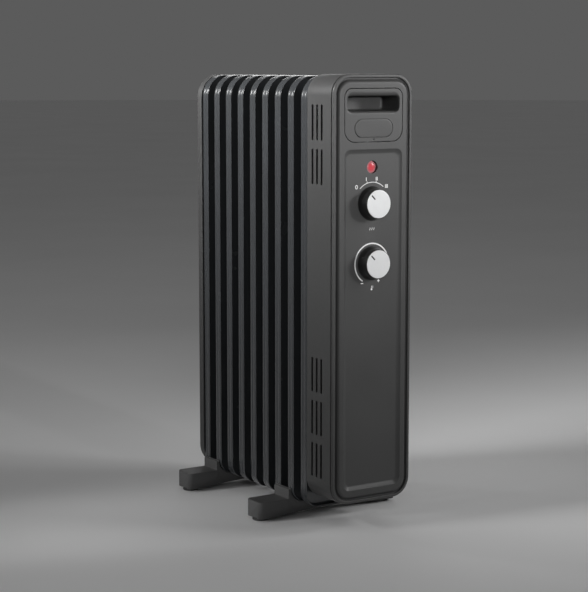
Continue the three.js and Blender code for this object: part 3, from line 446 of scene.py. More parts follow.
# Moulded plastic: two close greys in a cloud with the grain's tone, paler worn edges, a film of
# dust, and the grain as a shallow bump.
def makePlastic(name):
    look = plasticLooks[name]
    material, tree, shader = startMaterial(name)
    grain = addEffect(tree, "grain", Fineness=look["fineness"], Cloud=11.0)
    wear = addEffect(tree, "wear", Amount=look["wear"], Break_up=170.0)
    dust = addEffect(tree, "dust", Amount=look["dust"])
    tone = mapRange(tree, grain.outputs["Tone"], 0.0, 1.0)
    base = mixColours(tree, tone, look["low"], look["high"])
    worn = mixColours(tree, wear.outputs["Mask"], base, look["worn"])
    dusty = mixColours(tree, dust.outputs["Mask"], worn, dustColour)
    polish = mapRange(tree, grain.outputs["Polish"], *look["rough"])
    wire(tree, shader, {"Base Color": dusty, "Roughness": polish})
    addBump(tree, shader, grain.outputs["Height"], look["bump"], look["depth"])
    shader.inputs["IOR"].default_value = 1.5
    return material


enamelLook = {
    "low": (0.038, 0.0405, 0.0435, 1.0), "high": (0.042, 0.045, 0.0485, 1.0),
    "worn": grey(0.07), "wear": 0.06, "dusty": (0.30, 0.29, 0.27, 1.0), "dust": 0.01,
    "rough": (0.22, 0.28), "peel": 380.0, "bump": 0.05, "depth": 0.0003,
    "coat": (0.5, 0.35), "coatRough": 0.1,
}


# Sprayed dark enamel: two close dark greys in a slow cloud, soft waviness in the gloss, a clear
# coat that thins in patches, and paler worn edges.
def makeEnamel():
    look = enamelLook
    material, tree, shader = startMaterial("finEnamel")
    peel = addEffect(tree, "peel", Size=look["peel"])
    wear = addEffect(tree, "wear", Amount=look["wear"], Break_up=140.0)
    dust = addEffect(tree, "dust", Amount=look["dust"])
    base = mixColours(tree, mapRange(tree, peel.outputs["Tone"], 0.0, 1.0), look["low"], look["high"])
    worn = mixColours(tree, wear.outputs["Mask"], base, look["worn"])
    dusty = mixColours(tree, dust.outputs["Mask"], worn, look["dusty"])
    rough = mapRange(tree, peel.outputs["Tone"], *look["rough"])
    coat = mapRange(tree, peel.outputs["Tone"], *look["coat"])
    wire(tree, shader, {"Base Color": dusty, "Roughness": rough, "Coat Weight": coat})
    shader.inputs["Coat Roughness"].default_value = look["coatRough"]
    addBump(tree, shader, peel.outputs["Height"], look["bump"], look["depth"])
    return material


metalLooks = {
    "zincSteel": {
        "low": (0.42, 0.43, 0.44, 1.0), "high": (0.62, 0.63, 0.64, 1.0), "rough": (0.30, 0.46),
        "metallic": (0.92, 1.0), "stretch": (700.0, 700.0, 60.0), "bump": 0.12, "depth": 0.00008,
    },
    "brass": {
        "low": (0.50, 0.34, 0.13, 1.0), "high": (0.68, 0.49, 0.22, 1.0), "rough": (0.26, 0.42),
        "metallic": (0.92, 1.0), "stretch": (600.0, 90.0, 600.0), "bump": 0.1, "depth": 0.00008,
    },
    "knobSilver": {
        "low": (0.78, 0.785, 0.79, 1.0), "high": (0.82, 0.825, 0.83, 1.0), "rough": (0.30, 0.36),
        "metallic": (0.15, 0.25), "stretch": (1800.0, 1800.0, 1800.0), "bump": 0.03, "depth": 0.00004,
    },
}


# Metal or metal paint: two tones in spots, with the drawing lines as a bump.
def makeMetal(name):
    look = metalLooks[name]
    material, tree, shader = startMaterial(name)
    drawn = addEffect(tree, "drawn", Stretch=look["stretch"])
    wear = addEffect(tree, "wear", Amount=0.08, Break_up=200.0)
    tone = drawn.outputs["Tone"]
    base = mixColours(tree, mapRange(tree, tone, 0.0, 1.0), look["low"], look["high"])
    values = {
        "Base Color": mixColours(tree, wear.outputs["Mask"], base, grey(0.8)),
        "Roughness": mapRange(tree, tone, *look["rough"]),
        "Metallic": mapRange(tree, tone, *look["metallic"]),
    }
    wire(tree, shader, values)
    addBump(tree, shader, drawn.outputs["Height"], look["bump"], look["depth"])
    return material


lensLow, lensHigh = nodeBox("indicator_lens")
lampZ = float(lensLow[2] + lensHigh[2]) / 2
clearLooks = {
    "lensRed": {
        "low": (0.58, 0.06, 0.08, 1.0), "high": (0.70, 0.10, 0.12, 1.0),
        "transmission": 0.3, "glow": 0.13,
        # the rim colour and its reach paint a reflection: the lens turns a paler pinkish grey towards its
        # edge
        "rim": (0.50, 0.22, 0.24, 1.0), "rimReach": (0.0042, 0.0072), "middle": (0.0, 0.0, lampZ * mm),
    },
    "lampGlass": {
        "low": (0.85, 0.80, 0.74, 1.0), "high": (0.95, 0.92, 0.88, 1.0),
        "transmission": 0.85, "glow": 0.0,
    },
}


# Clear or tinted glass and plastic, with faint ripples. The lens also pales to a pinkish grey towards its
# rim, by the distance from its middle, which is a painted reflection of the kind its curved edge catches. It
# has a little light of its own.
def makeClear(name):
    look = clearLooks[name]
    material, tree, shader = startMaterial(name)
    peel = addEffect(tree, "peel", Size=500.0)
    tint = mixColours(tree, mapRange(tree, peel.outputs["Tone"], 0.0, 1.0), look["low"], look["high"])
    # painted reflection: the tint pales to the rim colour towards the lens's edge
    if "rim" in look:
        vector = "ShaderNodeVectorMath"
        offset = addNode(tree, vector, {"operation": "SUBTRACT"}, i0=objectPlace(tree), i1=look["middle"])
        flat = addNode(tree, vector, {"operation": "MULTIPLY"}, i0=offset.outputs[0], i1=(1, 0, 1))
        away = addNode(tree, vector, {"operation": "LENGTH"}, i0=flat.outputs[0])
        rim = mapRange(tree, away.outputs["Value"], 0.0, 1.0, *look["rimReach"])
        tint = mixColours(tree, rim, tint, look["rim"])
    wire(tree, shader, {"Base Color": tint, "Roughness": mapRange(tree, peel.outputs["Height"], 0.06, 0.14)})
    shader.inputs["Transmission Weight"].default_value = look["transmission"]
    if look["glow"]:
        tree.links.new(tint, shader.inputs["Emission Color"])
        shader.inputs["Emission Strength"].default_value = look["glow"]
    addBump(tree, shader, peel.outputs["Height"], 0.1, 0.0003)
    return material


materials = {name: makePlastic(name) for name in plasticLooks}
materials["finEnamel"] = makeEnamel()
materials.update({name: makeMetal(name) for name in metalLooks})
materials.update({name: makeClear(name) for name in clearLooks})
print("finishes", len(materials))


cameraPlace = {
    "at": (-1.3503, -2.08985, 0.6519),  # metres
    "turn": 32.58,  # degrees from straight ahead
    "dip": 7.77,
    "lens": 102.78,
}
cameraData = bpy.data.cameras.new("camera")
cameraData.lens = cameraPlace["lens"]
cameraData.sensor_width = 36
cameraData.clip_end = 100
camera = bpy.data.objects.new("camera", cameraData)
camera.location = cameraPlace["at"]
camera.rotation_euler = (math.radians(90 - cameraPlace["dip"]), 0, math.radians(-cameraPlace["turn"]))
bpy.context.scene.collection.objects.link(camera)
bpy.context.scene.camera = camera


panel = {
    "corner": 28.0,
    "plateauProud": 1.5,  # in front of the rim
    "rimWidth": 4.6,
    "rimDepth": 3.0,
    "grooveFloor": 3.5,  # behind the rim's front
    "grooveWidth": 3.2,
    "shoulder": 4.8,
    "spigotInset": 2.7,
    "spigotWall": 2.0,
    "spigotReach": 10.5,
    "backY": 6.0,
    "recessSide": 17.8,
    "recessBottom": 19.5,
    "recessTop": 102.5,
    "recessCorner": 10.0,
    "recessSlope": 6.3,
    "recessEase": 1.5,
    "recessEdge": 1.0,
    "recessFloor": 1.7,
    "recessBorder": 1.5,  # the flat strip round the recess that its rounding starts from
    "flat": 0.5,  # the flat border between a curved stretch and a flat face
    "lampGap": 0.3,
    "lampFlat": 1.0,
    "spindleHole": 5.0,
}
panelLow, panelHigh = nodeBox("front_panel")
rimY = panelLow[1] + panel["plateauProud"]
plateauY = panelLow[1]
floorY = rimY + panel["recessFloor"]
bodyHalf = panelHigh[0]
knobLow, knobHigh = nodeBox("heat_knob")
heatZ = (knobLow[2] + knobHigh[2]) / 2
thermoLow, thermoHigh = nodeBox("thermostat_knob")
thermoZ = (thermoLow[2] + thermoHigh[2]) / 2


# The panel's outline, drawn in by an inset on all sides.
def bodyLoop(inset):
    corner = panel["corner"] - inset
    half = bodyHalf - inset
    return roundedLoop(-half, half, panelLow[2] + inset, panelHigh[2] - inset, (corner,) * 4, 16)


# The recess's outline, drawn in by an inset; its corners shrink by half of it.
def recessLoop(inset):
    half = bodyHalf - panel["recessSide"] - inset
    bottom = panelLow[2] + panel["recessBottom"] + inset
    top = panelHigh[2] - panel["recessTop"] - inset
    return roundedLoop(-half, half, bottom, top, (panel["recessCorner"] - inset / 2,) * 4)


insert = {
    "lip": 3.0,  # the hidden flange round it
    "bottomCorner": 17.0,
    "topCorner": 12.0,
    "seam": 0.4,
    "seamFlat": 1.2,
    "backFlat": 2.0,
    "faceWall": 2.6,
    "pocketSide": 5.6,
    "pocketTop": 10.4,
    "pocketHeight": 20.8,
    "pocketCorner": 6.0,
    "pocketWall": 2.0,
    "cupGap": 0.1,  # how far the pocket's outside stays short of the node's back
    "draft": 2.5,
    "mouthRound": {"left": 3.2, "right": 0.9, "bottom": 4.0, "top": 5.6},
    "mouthDepth": 4.5,
    "mouthCorner": 5.0,  # by how much the corners grow at the mouth
    "backRound": 3.0,
    "wallInset": 0.3,
    "badgeSide": 17.0,
    "badgeDrop": 54.6,
    "badgeHeight": 24.8,
    "badgeFace": 2.0,  # from the oval's edge to its flat face
    "badgeSeam": 0.7,
    "badgeFlat": 0.2,
    "badgeSeatDepth": 1.6,
    "pinRadius": 1.2,
    "pinEdge": 0.2,
    "pinDrop": 2.4,
}
flangeLow, flangeHigh = nodeBox("handle_insert")
insertHalf = flangeHigh[0] - insert["lip"]
insertTop = flangeHigh[2] - insert["lip"]
insertBottom = flangeLow[2] + insert["lip"]
pocketBackY = flangeHigh[1] - insert["pocketWall"]


# The insert's outline, drawn in by an inset.
def insertLoop(inset):
    lower = insert["bottomCorner"] - inset
    upper = insert["topCorner"] - inset
    half = insertHalf - inset
    return roundedLoop(-half, half, insertBottom + inset, insertTop - inset, (lower, lower, upper, upper))


# The finger pocket's outline, drawn in by an inset and out by a share of its mouth's rounding.
def pocketLoop(inset, mouth=0.0):
    half = insertHalf - insert["pocketSide"] - inset
    top = insertTop - insert["pocketTop"] - inset
    bottom = insertTop - insert["pocketTop"] - insert["pocketHeight"] + inset
    grow = insert["mouthRound"]
    corner = insert["pocketCorner"] - inset / 2 + mouth * insert["mouthCorner"]
    return roundedLoop(
        -half - mouth * grow["left"],
        half + mouth * grow["right"],
        bottom - mouth * grow["bottom"],
        top + mouth * grow["top"],
        (corner,) * 4,
    )


badgeZ = insertTop - insert["badgeDrop"]


# The badge's oval: a rectangle whose corner radius is half its height.
def badgeLoop(inset):
    half = insertHalf - insert["badgeSide"] - inset
    rise = insert["badgeHeight"] / 2 - inset
    return roundedLoop(-half, half, badgeZ - rise, badgeZ + rise, (rise,) * 4, 20)


# The panel from its spigot forward over the round rim, into the groove, and up the plateau's
# shoulder, which is a quarter of an ellipse. The recess falls from the plateau over a small
# round edge and eases into its floor: its height is the depth times (1 - t) to a power.
def makeFrontPanel():
    flat = panel["flat"]
    spigotIn = panel["spigotInset"] + panel["spigotWall"]
    grooveEnd = panel["rimWidth"] + panel["grooveWidth"]
    rimBack = rimY + panel["rimDepth"]
    spigotEnd = rimBack + panel["spigotReach"]
    grooveY = rimY + panel["grooveFloor"]
    backY = rimY + panel["backY"]
    outer = filletedLine(
        [
            (spigotIn, backY),
            (spigotIn, spigotEnd),
            (panel["spigotInset"], spigotEnd),
            (panel["spigotInset"], rimBack),
            (0.0, rimBack),
            (0.0, rimY),
            (panel["rimWidth"], rimY),
            (panel["rimWidth"], grooveY),
            (grooveEnd, grooveY),
        ],
        (0.4, 0.4, 0.3, 0.6, 2.0, 0.9, 0.8),
    )
    turn = np.linspace(0, quarterTurn, 13)
    rise = panel["grooveFloor"] + panel["plateauProud"]
    shoulder = np.stack(
        [grooveEnd + panel["shoulder"] * (1 - np.cos(turn)), grooveY - rise * np.sin(turn)], axis=1
    )
    plateauInset = grooveEnd + panel["shoulder"] + flat
    profile = np.concatenate([outer, shoulder, [(plateauInset, plateauY)]])
    t = np.linspace(0, 1, 15)
    fall = (1 - t) ** panel["recessEase"] * (floorY - plateauY)
    slope = np.stack([t * panel["recessSlope"], floorY - fall], axis=1)
    border, slopeEnd = -panel["recessBorder"], panel["recessSlope"] + flat
    edge = filletedLine([(border, plateauY), slope[0], slope[1]], (panel["recessEdge"],), 6)
    slope = np.concatenate([edge[:-1], slope[1:], [(slopeEnd, floorY)]])
    seam = -insert["seam"]
    seat = filletedLine([(seam - flat, plateauY), (seam, plateauY), (seam, backY)], (0.35,))
    lampHole = lensHigh[0] + panel["lampGap"]
    lampRim = lampHole + panel["lampFlat"]
    lampEdge = filletedLine([(lampRim, floorY), (lampHole, floorY), (lampHole, backY)], (0.5,))
    spindleHole = panel["spindleHole"]
    spindles = [circleLoop(spindleHole, 0, z) for z in (heatZ, thermoZ)]
    patches = [
        insetPatch(bodyLoop, profile),
        insetPatch(recessLoop, slope),
        insetPatch(insertLoop, seat),
        turnedPatch(lampEdge, (0, 0, lampZ), sides=48),
        flatPatch(bodyLoop(plateauInset), [recessLoop(border), insertLoop(seam - flat)], plateauY),
        flatPatch(recessLoop(slopeEnd), [circleLoop(lampRim, 0, lampZ), *spindles], floorY),
        flatPatch(bodyLoop(spigotIn), [insertLoop(seam), circleLoop(lampHole, 0, lampZ), *spindles], backY),
    ]
    for z in (heatZ, thermoZ):
        patches.append(turnedPatch([(spindleHole, floorY), (spindleHole, backY)], (0, 0, z), sides=48))
    name = "front_panel"
    makePiece(name + "_face", patches, "panelPlastic", replaced=[name])


# The insert's plate with a soft edge, and its pocket: the mouth rounds over along a quarter ellipse
# that is wide on three sides and tight on the right, and the walls round over into the back.
def makeHandleInsert():
    seam = insert["seam"]
    flat = panel["flat"]
    faceBack = plateauY + insert["faceWall"]
    seamEnd, backEnd = seam + insert["seamFlat"], seam + insert["backFlat"]
    edge = filletedLine(
        [(backEnd, faceBack), (seam, faceBack), (seam, plateauY), (seamEnd, plateauY)], (0.3, 0.6)
    )
    turn = np.linspace(0, quarterTurn, 9)
    mouthDepth, wallInset, backRound = insert["mouthDepth"], insert["wallInset"], insert["backRound"]
    border = pocketLoop(-flat, 1.0)
    backLoop = pocketLoop(wallInset + backRound + flat)
    # the pocket's loops with their y, from the plateau to the back
    rows = [(border, plateauY)]
    rows += [(pocketLoop(0.0, 1 - math.sin(a)), plateauY + mouthDepth * (1 - math.cos(a))) for a in turn]
    for a in turn:
        inset = wallInset + backRound * (1 - math.cos(a))
        rows.append((pocketLoop(inset), pocketBackY - backRound * (1 - math.sin(a))))
    rows.append((backLoop, pocketBackY))
    pocketRows = np.stack([np.insert(loop, 1, y, axis=1) for loop, y in rows])
    cupBack = pocketBackY + insert["pocketWall"] - insert["cupGap"]
    cupWall, cupEnd = -insert["pocketWall"], -insert["pocketWall"] + insert["draft"]
    seatY = plateauY + insert["badgeSeatDepth"]
    gap = -insert["badgeSeam"]
    gapFlat = gap - insert["badgeFlat"]
    badgeSeat = filletedLine([(gapFlat, plateauY), (gap, plateauY), (gap, seatY)], (0.15,))
    pinZ = badgeZ - insert["badgeHeight"] / 2 - insert["pinDrop"]
    pin, pinRim = insert["pinRadius"], insert["pinRadius"] + insert["pinEdge"]
    pinHole = filletedLine([(pinRim, plateauY), (pin, plateauY), (pin, faceBack)], (0.1,))
    pinFront, pinBack = circleLoop(pinRim, 0, pinZ, 24), circleLoop(pin, 0, pinZ, 24)
    patches = [
        insetPatch(insertLoop, edge),
        gridPatch(pocketRows),
        insetPatch(pocketLoop, [(cupWall, faceBack), (cupEnd, cupBack)]),
        insetPatch(badgeLoop, badgeSeat),
        turnedPatch(pinHole, (0, 0, pinZ), sides=24),
        flatPatch(insertLoop(seamEnd), [border, badgeLoop(gapFlat), pinFront], plateauY),
        flatPatch(badgeLoop(gap), [], seatY),
        flatPatch(backLoop, [], pocketBackY),
        flatPatch(insertLoop(backEnd), [pocketLoop(cupWall), pinBack], faceBack),
        flatPatch(pocketLoop(cupEnd), [], cupBack),
    ]
    name = "handle_insert"
    makePiece(name + "_face", patches, "panelPlastic", replaced=[name])


# A blank flat oval with a round edge.
def makeBadge():
    low, high = nodeBox("badge_pad")
    face = insert["badgeFace"]
    edge = filletedLine([(0.0, high[1]), (0.0, low[1]), (face, low[1])], (0.6,))
    patches = [
        insetPatch(badgeLoop, edge),
        flatPatch(badgeLoop(face), [], low[1]),
        flatPatch(badgeLoop(0.0), [], high[1]),
    ]
    makePiece("badge_face", patches, "badgePlastic", replaced=["badge_pad"])


makeFrontPanel()
makeHandleInsert()
makeBadge()
print("front panel, handle insert and badge")


knob = {
    "capRadius": 19.5,
    "capFlat": 1.2,  # the cap's edge strip, which holds its rounding
    "capGap": 0.15,
    "rimSetback": 0.6,
    "rimWidth": 0.9,
    "flare": 3.6,
    "shoulder": (0.9, 9.0),  # wider than the rim by this, at this depth behind the cap's face
    "foot": (0.6, 2.2),  # narrower than the base by this, at this height over it
    "wall": 2.0,
    "floor": 2.0,
    "capSeat": 0.3,
    "restDegrees": -45.0,
    "pointer": (9.0, 17.4),
    "pointerWidth": 2.0,
    "pointerDepth": 0.4,
    "pointerEdge": 0.35,
    "paintDepth": 0.05,
    "paint": 0.1,
}


# A knob's tapered skirt, turned: it swells from its rim to its base along a line with soft ends.
# The cap is a flat disc with a soft edge and a sunk pointer line with round ends, and a dark strip
# lies in the line.
def makeKnob(name):
    low, high = nodeBox(name + "_knob")
    capLow, capHigh = nodeBox(name + "_knob_cap")
    z = (low[2] + high[2]) / 2
    faceY, baseY = capLow[1], high[1]
    capRadius, wall = knob["capRadius"], knob["wall"]
    bore = capRadius + knob["capGap"]
    front = capRadius + knob["rimWidth"]
    base = front + knob["flare"]
    rim = faceY + knob["rimSetback"]
    seatY = capHigh[1] + knob["capSeat"]
    floorBack = seatY + knob["floor"]
    (wider, shoulderDepth), (narrower, footRise) = knob["shoulder"], knob["foot"]
    skirt = filletedLine(
        [
            (0.0, seatY),
            (bore, seatY),
            (bore, rim),
            (front, rim),
            (front + wider, faceY + shoulderDepth),
            (base - narrower, baseY - footRise),
            (base, baseY),
            (base - wall, baseY),
            (front - wall, floorBack),
            (0.0, floorBack),
        ],
        (0.1, 0.1, 0.35, 12.0, 1.5, 0.3, 0.3, 0.5),
        6,
    )
    skirt = turnedPatch(skirt, (0, 0, z), sides=96)
    body = name + "_knob"
    makePiece(body + "_skirt", [skirt], "knobBlack", body, [body])
    inner, outer = knob["pointer"]
    half, edge = knob["pointerWidth"] / 2, knob["pointerEdge"]
    lineFloor = faceY + knob["pointerDepth"]
    capFlat = capRadius - knob["capFlat"]

    def slot(inset):
        ends = (half - inset,) * 4
        return roundedLoop(inset - half, half - inset, inner + inset, outer - inset, ends, 6) + [0, z]

    disc = filletedLine(
        [(0.0, capHigh[1]), (capRadius, capHigh[1]), (capRadius, faceY), (capFlat, faceY)], (0.3, 0.5)
    )
    line = [(-edge, faceY), (-0.15, faceY), (0.0, faceY + 0.15), (0.0, lineFloor)]
    cap = [
        turnedPatch(disc, (0, 0, z), sides=96),
        insetPatch(slot, line),
        flatPatch(circleLoop(capFlat, 0, z, 96), [slot(-edge)], faceY),
        flatPatch(slot(0.0), [], lineFloor),
    ]
    cap = [placed(patch, knob["restDegrees"], (0, z)) for patch in cap]
    makePiece(body + "_face", cap, "knobSilver", body, [body + "_cap"])
    paintFront = faceY + knob["paintDepth"]
    paintBack = paintFront + knob["paint"]
    strip = [
        wallPatch(slot(0.0), (paintBack, paintFront)),
        flatPatch(slot(0.0), [], paintFront),
        flatPatch(slot(0.0), [], paintBack),
    ]
    strip = [placed(patch, knob["restDegrees"], (0, z)) for patch in strip]
    makePiece(body + "_pointer", strip, "knobBlack", body)


makeKnob("heat")
makeKnob("thermostat")


lens = {"domeRise": 2.0, "wall": 1.5, "innerRise": 1.4, "curve": 2.6}


# The indicator's lens, turned: a dome whose fall grows with the radius to a power, on a short tube,
# with its inside a little smaller.
def makeLens():
    edge, inside = lensHigh[0], lensHigh[0] - lens["wall"]
    topY, backY = lensLow[1], lensHigh[1]
    t = np.linspace(0, 1, 13)
    back = t[::-1]
    dome = np.stack([edge * t, topY + lens["domeRise"] * t ** lens["curve"]], axis=1)
    inner = topY + lens["wall"] + lens["innerRise"] * back ** lens["curve"]
    inner = np.stack([inside * back, inner], axis=1)
    profile = np.concatenate([dome, [(edge, backY), (inside, backY)], inner])
    turned = turnedPatch(profile, (0, 0, lampZ), sides=64)
    makePiece("lens_dome", [turned], "lensRed", replaced=["indicator_lens"])


makeLens()
print("knobs and lens")


printLook = {"proud": 0.08, "thick": 0.1}
heatDial = {
    "arcRadius": 29.3,
    "arcWidth": 0.9,
    "arc": (-45.0, 40.0),  # degrees clockwise from straight up
    "marks": (-16.5, 12.5),
    "tick": 2.2,
    "figures": ((-48.5, 35.2), (-16.5, 35.2), (12.5, 34.8), (46.5, 33.4)),  # angle and radius
    "figureHeight": 5.0,
    "stroke": 1.05,
    "barPitch": 1.85,
    "noughtSize": 1.2,
    "iconDrop": 35.5,  # below the knob's axis
    "wavePitch": 3.4,
    "waveHeight": 3.6,
    "waveSwing": 0.5,
    "waveWidth": 0.7,
}
thermoDial = {
    "arcRadius": 28.3,
    "arcWidth": 1.9,
    "arc": (-147.0, 115.0),
    "drop": 0.6,  # the arc's middle below the knob's axis
    "minus": (-16.4, 27.5),  # to the side of the axis and below it
    "plus": (11.6, 25.3),
    "sign": 4.2,
    "stroke": 1.2,
    "iconDrop": 35.0,
    "bulb": (1.5, 1.6),  # its radius, and its middle below the stem's foot
    "stem": (3.2, 1.0),  # its length and width
    "lines": (0.6, 1.7, 2.8),  # heights of the scale's lines up the stem
    "lineEnds": (1.3, 2.7),
    "lineWidth": 0.6,
}


# A closed outline made a thin plate in front of the recess floor.
def printedPlate(loop, holes=()):
    front = floorY - printLook["proud"]
    back = front + printLook["thick"]
    sides = [wallPatch(edge, (back, front), smooth=False) for edge in (loop, *holes)]
    return [flatPatch(loop, list(holes), front), flatPatch(loop, list(holes), back), *sides]


# A band of even width along a line of points, with square ends.
def printedLine(points, width):
    points = np.asarray(points, float)
    along = np.gradient(points, axis=0)
    along /= np.linalg.norm(along, axis=1)[:, None]
    square = np.stack([-along[:, 1], along[:, 0]], axis=1) * width / 2
    return printedPlate(np.concatenate([points + square, (points - square)[::-1]])[::-1])


# Part of a circle about [0, z] between two angles, clockwise from straight up.
def dialArc(radius, z, start, end, steps):
    angle = np.radians(np.linspace(start, end, steps))
    return np.stack([radius * np.sin(angle), z + radius * np.cos(angle)], axis=1)


# The figures are a ring for nought and one, two or three upright bars, with three waves below.
def heatPrint():
    look = heatDial
    patches = printedLine(dialArc(look["arcRadius"], heatZ, *look["arc"], 40), look["arcWidth"])
    for angle in look["marks"]:
        reach = (look["arcRadius"], look["arcRadius"] + look["tick"])
        ends = [dialArc(radius, heatZ, angle, angle, 1)[0] for radius in reach]
        patches += printedLine(ends, look["arcWidth"])
    half, stroke = look["figureHeight"] / 2, look["stroke"]
    for count, (angle, radius) in enumerate(look["figures"]):
        x, z = dialArc(radius, heatZ, angle, angle, 1)[0]
        if count == 0:
            ring = circleLoop(1.0, 0, 0, 40)
            tall = half * look["noughtSize"]
            outer, inner = ring * (tall * 0.75, tall), ring * (tall * 0.75 - stroke, tall - stroke)
            patches += printedPlate(outer + [x, z], [inner + [x, z]])
        for bar in range(count):
            barX = x + (bar - (count - 1) / 2) * look["barPitch"]
            patches += printedLine([(barX, z - half), (barX, z + half)], stroke)
    rise = np.linspace(-0.5, 0.5, 13) * look["waveHeight"]
    for wave in (-1, 0, 1):
        swing = look["waveSwing"] * np.sin(rise * 2 * math.pi / look["waveHeight"])
        points = np.stack([wave * look["wavePitch"] + swing, heatZ - look["iconDrop"] + rise], axis=1)
        patches += printedLine(points, look["waveWidth"])
    return patches


# A broad arc that starts at a minus sign, a plus sign, and a small thermometer below.
def thermostatPrint():
    look = thermoDial
    middle = thermoZ - look["drop"]
    patches = printedLine(dialArc(look["arcRadius"], middle, *look["arc"], 120), look["arcWidth"])
    half, stroke = look["sign"] / 2, look["stroke"]
    for x, drop in (look["minus"], look["plus"]):
        patches += printedLine([(x - half, thermoZ - drop), (x + half, thermoZ - drop)], stroke)
    x, z = look["plus"][0], thermoZ - look["plus"][1]
    for side in (-1, 1):
        patches += printedLine([(x, z + side * half), (x, z + side * (stroke / 2 + 0.01))], stroke)
    bulbZ = thermoZ - look["iconDrop"]
    bulbRadius, bulbDrop = look["bulb"]
    stemLength, stemWidth = look["stem"]
    patches += printedPlate(circleLoop(bulbRadius, 0, bulbZ - bulbDrop, 24))
    patches += printedLine([(0, bulbZ), (0, bulbZ + stemLength)], stemWidth)
    for mark in look["lines"]:
        ends = [(x, bulbZ + mark) for x in look["lineEnds"]]
        patches += printedLine(ends, look["lineWidth"])
    return patches


makePiece("dial_print", heatPrint() + thermostatPrint(), "dialWhite")
print("dial print")


housing = {
    "wall": 2.2,
    "edge": 0.9,
    "ventWidth": 4.6,
    "ventLength": 48.5,
    "rowPitch": 61.0,
    "columnPitch": 11.45,
    "columns": 3,
    "middleGap": 25.2,  # from the middle column to the rear edge
    "upper": (41.5, 2),  # from the top, and how many rows
    "lower": (34.7, 3),
    "ventCorner": 0.8,
    "ventEdge": 0.15,  # the softened edge round each slot
}


# Outlines of the vent slots in one side as loops [y, z], in rows counted from both ends.
def ventLoops(grow=0.0):
    low, high = nodeBox("control_housing")
    length, pitch = housing["ventLength"], housing["rowPitch"]
    (upperDrop, upperRows), (lowerRise, lowerRows) = housing["upper"], housing["lower"]
    tops = [high[2] - upperDrop - row * pitch for row in range(upperRows)]
    tops += [low[2] + lowerRise + length + row * pitch for row in range(lowerRows)]
    middle = high[1] - housing["middleGap"]
    half = housing["ventWidth"] / 2 + grow
    corners = (housing["ventCorner"] + grow,) * 4
    loops = []
    for top in tops:
        for column in range(housing["columns"]):
            y = middle + (column - (housing["columns"] - 1) / 2) * housing["columnPitch"]
            loops.append(roundedLoop(y - half, y + half, top - length - grow, top + grow, corners, 5))
    return loops


# Turns a patch drawn as [y, -, z] into one that faces sideways at x.
def sideways(patch, side):
    points, faces, smooth = patch
    return np.stack([points[:, 1] * side, points[:, 0], points[:, 2]], axis=1), faces, smooth


# The shell's outline carried from front to back with soft edges. Its two flat sides are cut away
# from that surface and filled again with flat faces that have the slots in them.
def makeHousing():
    low, high = nodeBox("control_housing")
    wall, edge, ventEdge = housing["wall"], housing["edge"], housing["ventEdge"]
    front, back = low[1], high[1]
    bottom, top = panelLow[2] + panel["corner"], panelHigh[2] - panel["corner"]
    ends = (front + edge, back - edge)
    outline = np.array([(ends[0], bottom), (ends[1], bottom), (ends[1], top), (ends[0], top)])
    outside = filletedLine([(wall, front), (0.0, front), (0.0, back), (wall, back)], (edge, edge), 4)
    inside = [(wall, front), (wall, ends[0]), (wall, ends[1]), (wall, back)]
    patches = []
    for inset, profile, grow in ((0.0, outside, ventEdge), (wall, inside, 0.0)):
        points, faces, smooth = insetPatch(bodyLoop, profile)
        faces = np.array(faces)
        corners = points[faces]
        flatSide = np.abs(np.abs(corners[:, :, 0]) - (bodyHalf - inset)).max(axis=1) < 1e-6
        # the long faces of the flat sides, over 100 mm tall and 20 mm deep
        large = (np.ptp(corners[:, :, 2], axis=1) > 100) & (np.ptp(corners[:, :, 1], axis=1) > 20)
        patches.append((points, faces[~(flatSide & large)].tolist(), smooth))
        for side in (-1, 1):
            patches.append(sideways(flatPatch(outline, ventLoops(grow), bodyHalf - inset), side))
    soft = ventEdge * 0.3
    for side in (-1, 1):
        for outer, middle, inner in zip(ventLoops(ventEdge), ventLoops(soft), ventLoops(0.0)):
            rows = ((outer, 0.0), (middle, soft), (inner, ventEdge), (inner, wall))
            ring = np.stack([np.insert(loop, 1, bodyHalf - depth, axis=1) for loop, depth in rows])
            patches.append(sideways(gridPatch(ring), side))
    name = "control_housing"
    makePiece(name + "_shell", patches, "housingPlastic", replaced=[name])


makeHousing()
print("control housing")


fins = {
    "count": 9,
    "bottomCorner": 20.0,
    "topCorner": 32.0,
    "bandHalf": 7.75,
    "crown": 0.35,  # how far the band's middle seam and its edges lie under its two crowns
    "bandWall": 1.2,
    "sheet": 0.8,
    "seamInset": 0.55,  # the round edges' share of the band at each side
    "rootRound": 3.0,
    "rootInset": 14.0,
    "chamberHalf": 46.0,
    "chamberMargin": 16.0,
    "chamberCorner": 20.0,
    "chamberRise": 4.5,
    "chamberSlope": 5.0,
    "chamberFlat": 0.6,
    "neckRadius": 19.0,
    "neckFoot": 1.1,  # the flat round the foot of each neck
    "neckBore": 14.0,
    "neckGap": 0.15,
    "headerInset": 42.0,
    "channels": (-24.0, 0.0, 24.0),
    "channelHalf": 4.5,
    "channelGap": 44.0,
    "channelSlope": 3.2,
    "channelFloor": 0.2,  # over the sheet
}


# A fin's outline, drawn in by an inset.
def finLoop(inset):
    low, high = nodeBox("fin_1")
    half = high[0] - inset
    lower, upper = fins["bottomCorner"] - inset, fins["topCorner"] - inset
    return roundedLoop(-half, half, low[2] + inset, high[2] - inset, (lower, lower, upper, upper), 14)


# The oil chamber's outline, drawn in by an inset; its corners shrink by half of it.
def chamberLoop(inset):
    low, high = nodeBox("fin_1")
    half = fins["chamberHalf"] - inset
    bottom = low[2] + fins["chamberMargin"] + inset
    top = high[2] - fins["chamberMargin"] - inset
    return roundedLoop(-half, half, bottom, top, (fins["chamberCorner"] - inset / 2,) * 4, 14)


